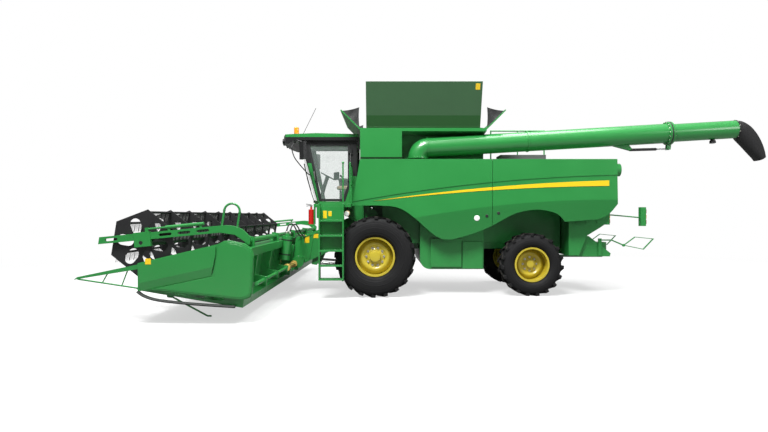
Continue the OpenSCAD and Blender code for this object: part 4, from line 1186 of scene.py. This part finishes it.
wiperSettings = {
    # the bowed windscreen
    "nose": -1.622,
    "foot": 2.230,
    "lean": 15.5,
    "radius": 2.416,
    "lift": 0.022,
    # across and up
    "arm": [(0.05, 2.33), (-0.10, 2.55), (-0.34, 2.95)],
    "armRadius": 0.010,
    "blade": (-0.16, 2.62),
    "bladeStep": (0.10, 0.17),
    "bladeIn": (0.008, 0, 0),
    "bladeHalf": (0.014, 0.006),
    "pivot": [(0.035, -0.03), (0.035, 0.01), (0.022, 0.022), (0.0, 0.024)],
    "pivotAxis": (-1, 0, 0.28),
}


def onScreen(y, z):
    s = wiperSettings
    tilt = math.radians(s["lean"])
    bow = s["radius"] - math.sqrt(s["radius"] ** 2 - y * y)
    x = s["nose"] - (z - s["foot"]) * math.tan(tilt) + bow / math.cos(tilt)
    return fromAxle(x - s["lift"], y, z)


def addWiper():
    s = wiperSettings
    arm = smoothPath([onScreen(y, z) for y, z in s["arm"]], 6)
    (y, z), (across, rise) = s["blade"], s["bladeStep"]
    blade = smoothPath([onScreen(y - across * k, z + rise * k) + Vector(s["bladeIn"]) for k in range(5)], 4)
    parts = [tube(arm, s["armRadius"], 10), tube(blade, s["bladeHalf"][0], 10, s["bladeHalf"][1]),
             turned(s["pivot"], arm[0], s["pivotAxis"], 24)]
    addPiece("wiper", joined(parts), "black", "chassis")


handleSettings = {
    "path": [(-1.530, -0.925, 2.84), (-1.533, -0.965, 2.87), (-1.545, -0.972, 2.95), (-1.557, -0.965, 3.03),
             (-1.560, -0.925, 3.06)],
    "half": (0.013, 0.018),
}


def addHandle():
    s = handleSettings
    handle = tube(axlePath(s["path"], 6), s["half"][0], 14, s["half"][1])
    addPiece("doorHandle", handle, "grey", "door")


linerSettings = {"front": -1.80, "long": 1.20, "half": 0.80, "height": 3.822, "thick": 0.012, "steps": 40,
                 "ripple": 0.014, "frontDip": 0.03}


def addLiner():
    s = linerSettings
    rows = []
    for k in range(s["steps"] + 1):
        t = k / s["steps"]
        x = s["front"] + s["long"] * t
        z = s["height"] - s["ripple"] * math.sin(6 * math.pi * t) ** 2 - s["frontDip"] * (1 - t) ** 3
        rows.append([fromAxle(x, -s["half"], z), fromAxle(x, s["half"], z),
                     fromAxle(x, s["half"], z + s["thick"]), fromAxle(x, -s["half"], z + s["thick"])])
    addPiece("headLiner", loft(rows), "grey", "chassis", 40)


# Latches and a white disc on the side panels

latchSettings = {
    "places": {"front": (2.705, 1.940), "rear": (2.988, 2.010)},
    "face": 1.604,
    "shape": [(0.036, -0.004), (0.036, 0.006), (0.028, 0.012), (0.012, 0.012), (0.010, 0.007), (0.0, 0.007)],
    "disc": [(0.068, -0.006), (0.068, 0.003), (0.064, 0.005), (0.0, 0.005)],
    "discPlace": (2.463, -1.6045, 1.890),
}


def addLatches():
    s = latchSettings
    for end, (x, z) in s["places"].items():
        for side, sign in sides:
            latch = turned(s["shape"], fromAxle(x, sign * s["face"], z), (0, sign, 0), 28)
            addPiece(f"panelLatch_{end}_{side}", latch, "black", f"panel_{side}_{end}")
    disc = turned(s["disc"], fromAxle(*s["discPlace"]), -rightward, 40)
    addPiece("panelDisc", disc, "white", "panel_left_front")


# Plain yellow plates

plateSettings = {
    "thick": 0.004,
    "corner": 0.012,
    "rows": [
        # name, body, place, width, height
        ("shieldPlate", "header", (-3.985, -5.3345, 1.130), 0.105, 0.105),
        ("feederPlateFront", "header", (-1.770, -0.6995, 1.345), 0.120, 0.200),
        ("feederPlateRear", "header", (-1.530, -0.6995, 1.425), 0.200, 0.110),
        ("riserPlateFront", "ladder", (-1.180, -1.9695, 1.975), 0.090, 0.180),
        ("riserPlateRear", "ladder", (-1.060, -1.9695, 1.995), 0.080, 0.120),
    ],
    # the one on the left flap, which leans out
    "flapLean": 21.0,
    "flapThick": 0.030,
    "flapInset": (0.110, 0.120),
    "flapSize": (0.110, 0.150),
}


def addPlates():
    s = plateSettings
    edge = (s["thick"], s["corner"])
    for name, body, place, wide, high in s["rows"]:
        addPiece(name, plate(fromAxle(*place), rearward, upward, wide, high, *edge), "yellow", body)
    low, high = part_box("flap_left")
    lean = math.radians(s["flapLean"])
    up = Vector((0, -math.sin(lean), math.cos(lean)))
    corner = Vector((high[0] - s["flapInset"][0], low[1], high[2] - s["flapThick"] * math.sin(lean)))
    flapPlate = plate(corner - up * s["flapInset"][1], rearward, up, *s["flapSize"], *edge)
    addPiece("flapPlate", flapPlate, "yellow", "flap_left")


# Brackets that carry the cab

bracketSettings = {
    "inner": 0.895,
    "outer": 0.905,
    "outline": [(-0.98, 2.280), (-0.30, 2.280), (-0.30, 1.860), (-0.50, 1.800), (-0.66, 1.900),
                (-0.98, 2.160)],
    "lipFrom": 2,            # the lower edge has a rolled lip from this corner on
    "lipRadius": 0.014,
}


def addBrackets():
    s = bracketSettings
    web = sidePlate([(axle.x + x, z) for x, z in s["outline"]], -s["outer"], -s["inner"])
    lip = tube([fromAxle(x, -s["outer"], z) for x, z in s["outline"][s["lipFrom"]:]], s["lipRadius"], 8)
    addPiece("cabBrackets", joined([web, lip, mirrored(web), mirrored(lip)]), "green", "chassis")


rearLampSettings = {
    "place": (6.730, -1.160, 1.925),
    "size": (0.105, 0.115, 0.022, 0.018),
    "step": 0.132,
    "finishes": ["redLens", "amber", "redLens"],
}


def addRearLamps():
    s = rearLampSettings
    for side, sign in (("Left", 1), ("Right", -1)):
        for k, kind in enumerate(s["finishes"]):
            spot = fromAxle(*s["place"]) + Vector((0, 0, (k - 1) * s["step"]))
            spot.y *= sign
            lens = plate(spot, rightward, upward, *s["size"])
            addPiece(f"rearLamp{side}{k + 1}", lens, kind, "chassis")


# Skid bars under the header's ends

skidSettings = {
    "path": [(-4.190, -5.285, 0.590), (-4.060, -5.285, 0.505), (-3.800, -5.285, 0.432),
             (-3.20, -5.285, 0.368), (-2.450, -5.285, 0.318)],
    "half": (0.050, 0.026),
}


def addSkidBars():
    s = skidSettings
    bar = tube(axlePath(s["path"], 6), s["half"][1], 12, s["half"][0])
    addPiece("skidBarLeft", bar, "dark", "header")
    addPiece("skidBarRight", mirrored(bar), "dark", "header")


# Work lamp that hangs under the landing

workLampSettings = {
    "place": (-0.660, -1.900, 2.000),
    "ahead": (-0.3, -1, -0.2),
    "body": [(0.030, -0.07), (0.055, -0.055), (0.066, 0.0), (0.066, 0.035), (0.060, 0.040), (0.0, 0.036)],
    "lens": [(0.058, 0.037), (0.050, 0.044), (0.0, 0.047)],
    "stem": [(0.01, 0.05, 0.0), (0.01, 0.06, 0.08), (0.01, 0.06, 0.155)],
    "stemHalf": (0.012, 0.020),
}


def addWorkLamp():
    s = workLampSettings
    spot = fromAxle(*s["place"])
    addPiece("landingLamp", turned(s["body"], spot, s["ahead"], 28), "tan", "chassis")
    addPiece("landingLampGlass", turned(s["lens"], spot, s["ahead"], 28), "lens", "chassis")
    stem = smoothPath([spot + Vector(p) for p in s["stem"]], 4)
    addPiece("landingLampStem", tube(stem, s["stemHalf"][0], 10, s["stemHalf"][1]), "black", "chassis")


# Fine tines between the reel's own ones, hanging straight from each bat

tineSettings = {
    "bats": 6,
    "firstBat": 30,
    "radius": 0.560,
    "half": 4.98,
    "pitch": 0.05,
    "every": 4,              # the reel itself has each fourth one
    "thick": (0.005, 0.0025),
    # distance down, bow and share of the thickness
    "rings": [(0.012, 0.0, 1.0), (0.09, 0.003, 0.9), (0.176, 0.014, 0.5)],
}


def addTines():
    s = tineSettings
    joint = next(j for j in frame["joints"] if j["name"] == "reel_spin")
    middle = Vector(joint["pos_m"])
    lift = Matrix.Rotation(math.radians(headerSettings["lift"]), 3, "Y")
    down = lift @ -upward
    ahead = lift @ rearward
    count = int(s["half"] / s["pitch"])
    shapes = []
    for k in range(s["bats"]):
        a = math.radians(360 / s["bats"] * k + s["firstBat"])
        bat = middle + lift @ Vector((math.cos(a), 0, math.sin(a))) * s["radius"]
        for i in range(-count, count + 1):
            if i % s["every"] == 0:
                continue
            top = bat + rightward * (i * s["pitch"])
            rings = []
            for along, bow, size in s["rings"]:
                spot = top + down * along - ahead * bow
                wide, deep = ahead * (s["thick"][0] * size), rightward * (s["thick"][1] * size)
                rings.append([spot + wide, spot + deep, spot - wide, spot - deep])
            shapes.append(loft(rings, False, True))
    addPiece("reelTines", joined(shapes), "tine", "reel", sharp=60)


# Canister bands, and two hoses from its lid over and down to the side of the feeder house

hoseSettings = {
    # level with the header floor
    "foot": (-1.990, -1.900, 0.640),
    "bands": (0.13, 0.47),
    "band": [(0.128, -0.014), (0.1345, -0.014), (0.1345, 0.014), (0.128, 0.014)],
    "collar": [(0.030, -0.02), (0.030, 0.022), (0.022, 0.030), (0.022, 0.045)],
    "collarIn": (0, 0.025, 0),
    "diameter": 0.032,
    "steps": 4,
    "spread": 0.042,         # each hose to its side of the route
    "route": [(-1.990, -1.880, 1.275), (-1.990, -1.880, 1.350), (-1.978, -1.840, 1.440),
              (-1.950, -1.740, 1.490), (-1.915, -1.600, 1.480), (-1.880, -1.420, 1.410),
              (-1.850, -1.220, 1.315), (-1.825, -1.020, 1.240), (-1.810, -0.860, 1.205),
              (-1.805, -0.735, 1.200)],
}


def addHoses():
    s = hoseSettings
    x, y, z = s["foot"]
    up = (lifted(x, y, z + 1) - lifted(x, y, z)).normalized()
    bands = [turned(s["band"], lifted(x, y, z + rise), up, 40) for rise in s["bands"]]
    addPiece("canisterBands", joined(bands), "black", "header")
    ends = []
    for name, shift in (("hoseFront", -s["spread"]), ("hoseRear", s["spread"])):
        route = smoothPath([lifted(px + shift, py, pz) for px, py, pz in s["route"]], s["steps"])
        hose = addPiece(name, tube(route, s["diameter"] / 2, 12), "black", "header", sharp=80)
        length = sum((b - a).length for a, b in zip(route, route[1:]))
        ends.append(turned(s["collar"], route[0], up, 24))
        ends.append(turned(s["collar"], route[-1] + Vector(s["collarIn"]), -rightward, 24))
        print(name, "is", round(length, 3), "m long")
    addPiece("hoseCollars", joined(ends), "zinc", "header")


# Valve and levers of the fire extinguisher

valveSettings = {
    "body": [(0.020, -0.004), (0.020, 0.018), (0.030, 0.024), (0.030, 0.044), (0.014, 0.052), (0.0, 0.052)],
    "levers": [[(0.02, 0, 0.030), (-0.04, -0.01, 0.036), (-0.11, -0.02, 0.024)],
               [(0.02, 0, 0.048), (-0.04, -0.01, 0.062), (-0.12, -0.02, 0.072)]],
    "leverHalf": (0.008, 0.013),
}


def addValve():
    s = valveSettings
    low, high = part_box("fire_extinguisher")
    top = Vector(((low[0] + high[0]) / 2, (low[1] + high[1]) / 2, high[2]))
    levers = [tube(smoothPath([top + Vector(p) for p in line], 5), s["leverHalf"][0], 10, s["leverHalf"][1])
              for line in s["levers"]]
    addPiece("extinguisherValve", turned(s["body"], top, upward, 28), "zinc", "chassis")
    addPiece("extinguisherLevers", joined(levers), "black", "chassis")


finishes = makeFinishes()
stages = [
    ("camera, light and floor set", [makeCamera, makeLights, makeFloor]),
    ("nodes dressed", [dressNodes]),
    ("wheels fitted", [addWheels]),
    ("unloading tube fitted", [addSpout, addTubeFittings]),
    ("corner cloths hung", [addCloths]),
    ("cab fitted out", [addSeat, addControls]),
    ("cab fittings added", [addRoofLamps, addBeacon, addMirrors, addWiper, addHandle, addLiner]),
    ("small fittings added", [addLatches, addPlates, addBrackets, addRearLamps, addSkidBars, addWorkLamp]),
    ("reel tines added", [addTines]),
    ("hoses and valve added", [addHoses, addValve]),
]
for note, steps in stages:
    for step in steps:
        step()
    print(note)
bpy.context.scene.view_settings.view_transform = "Standard"
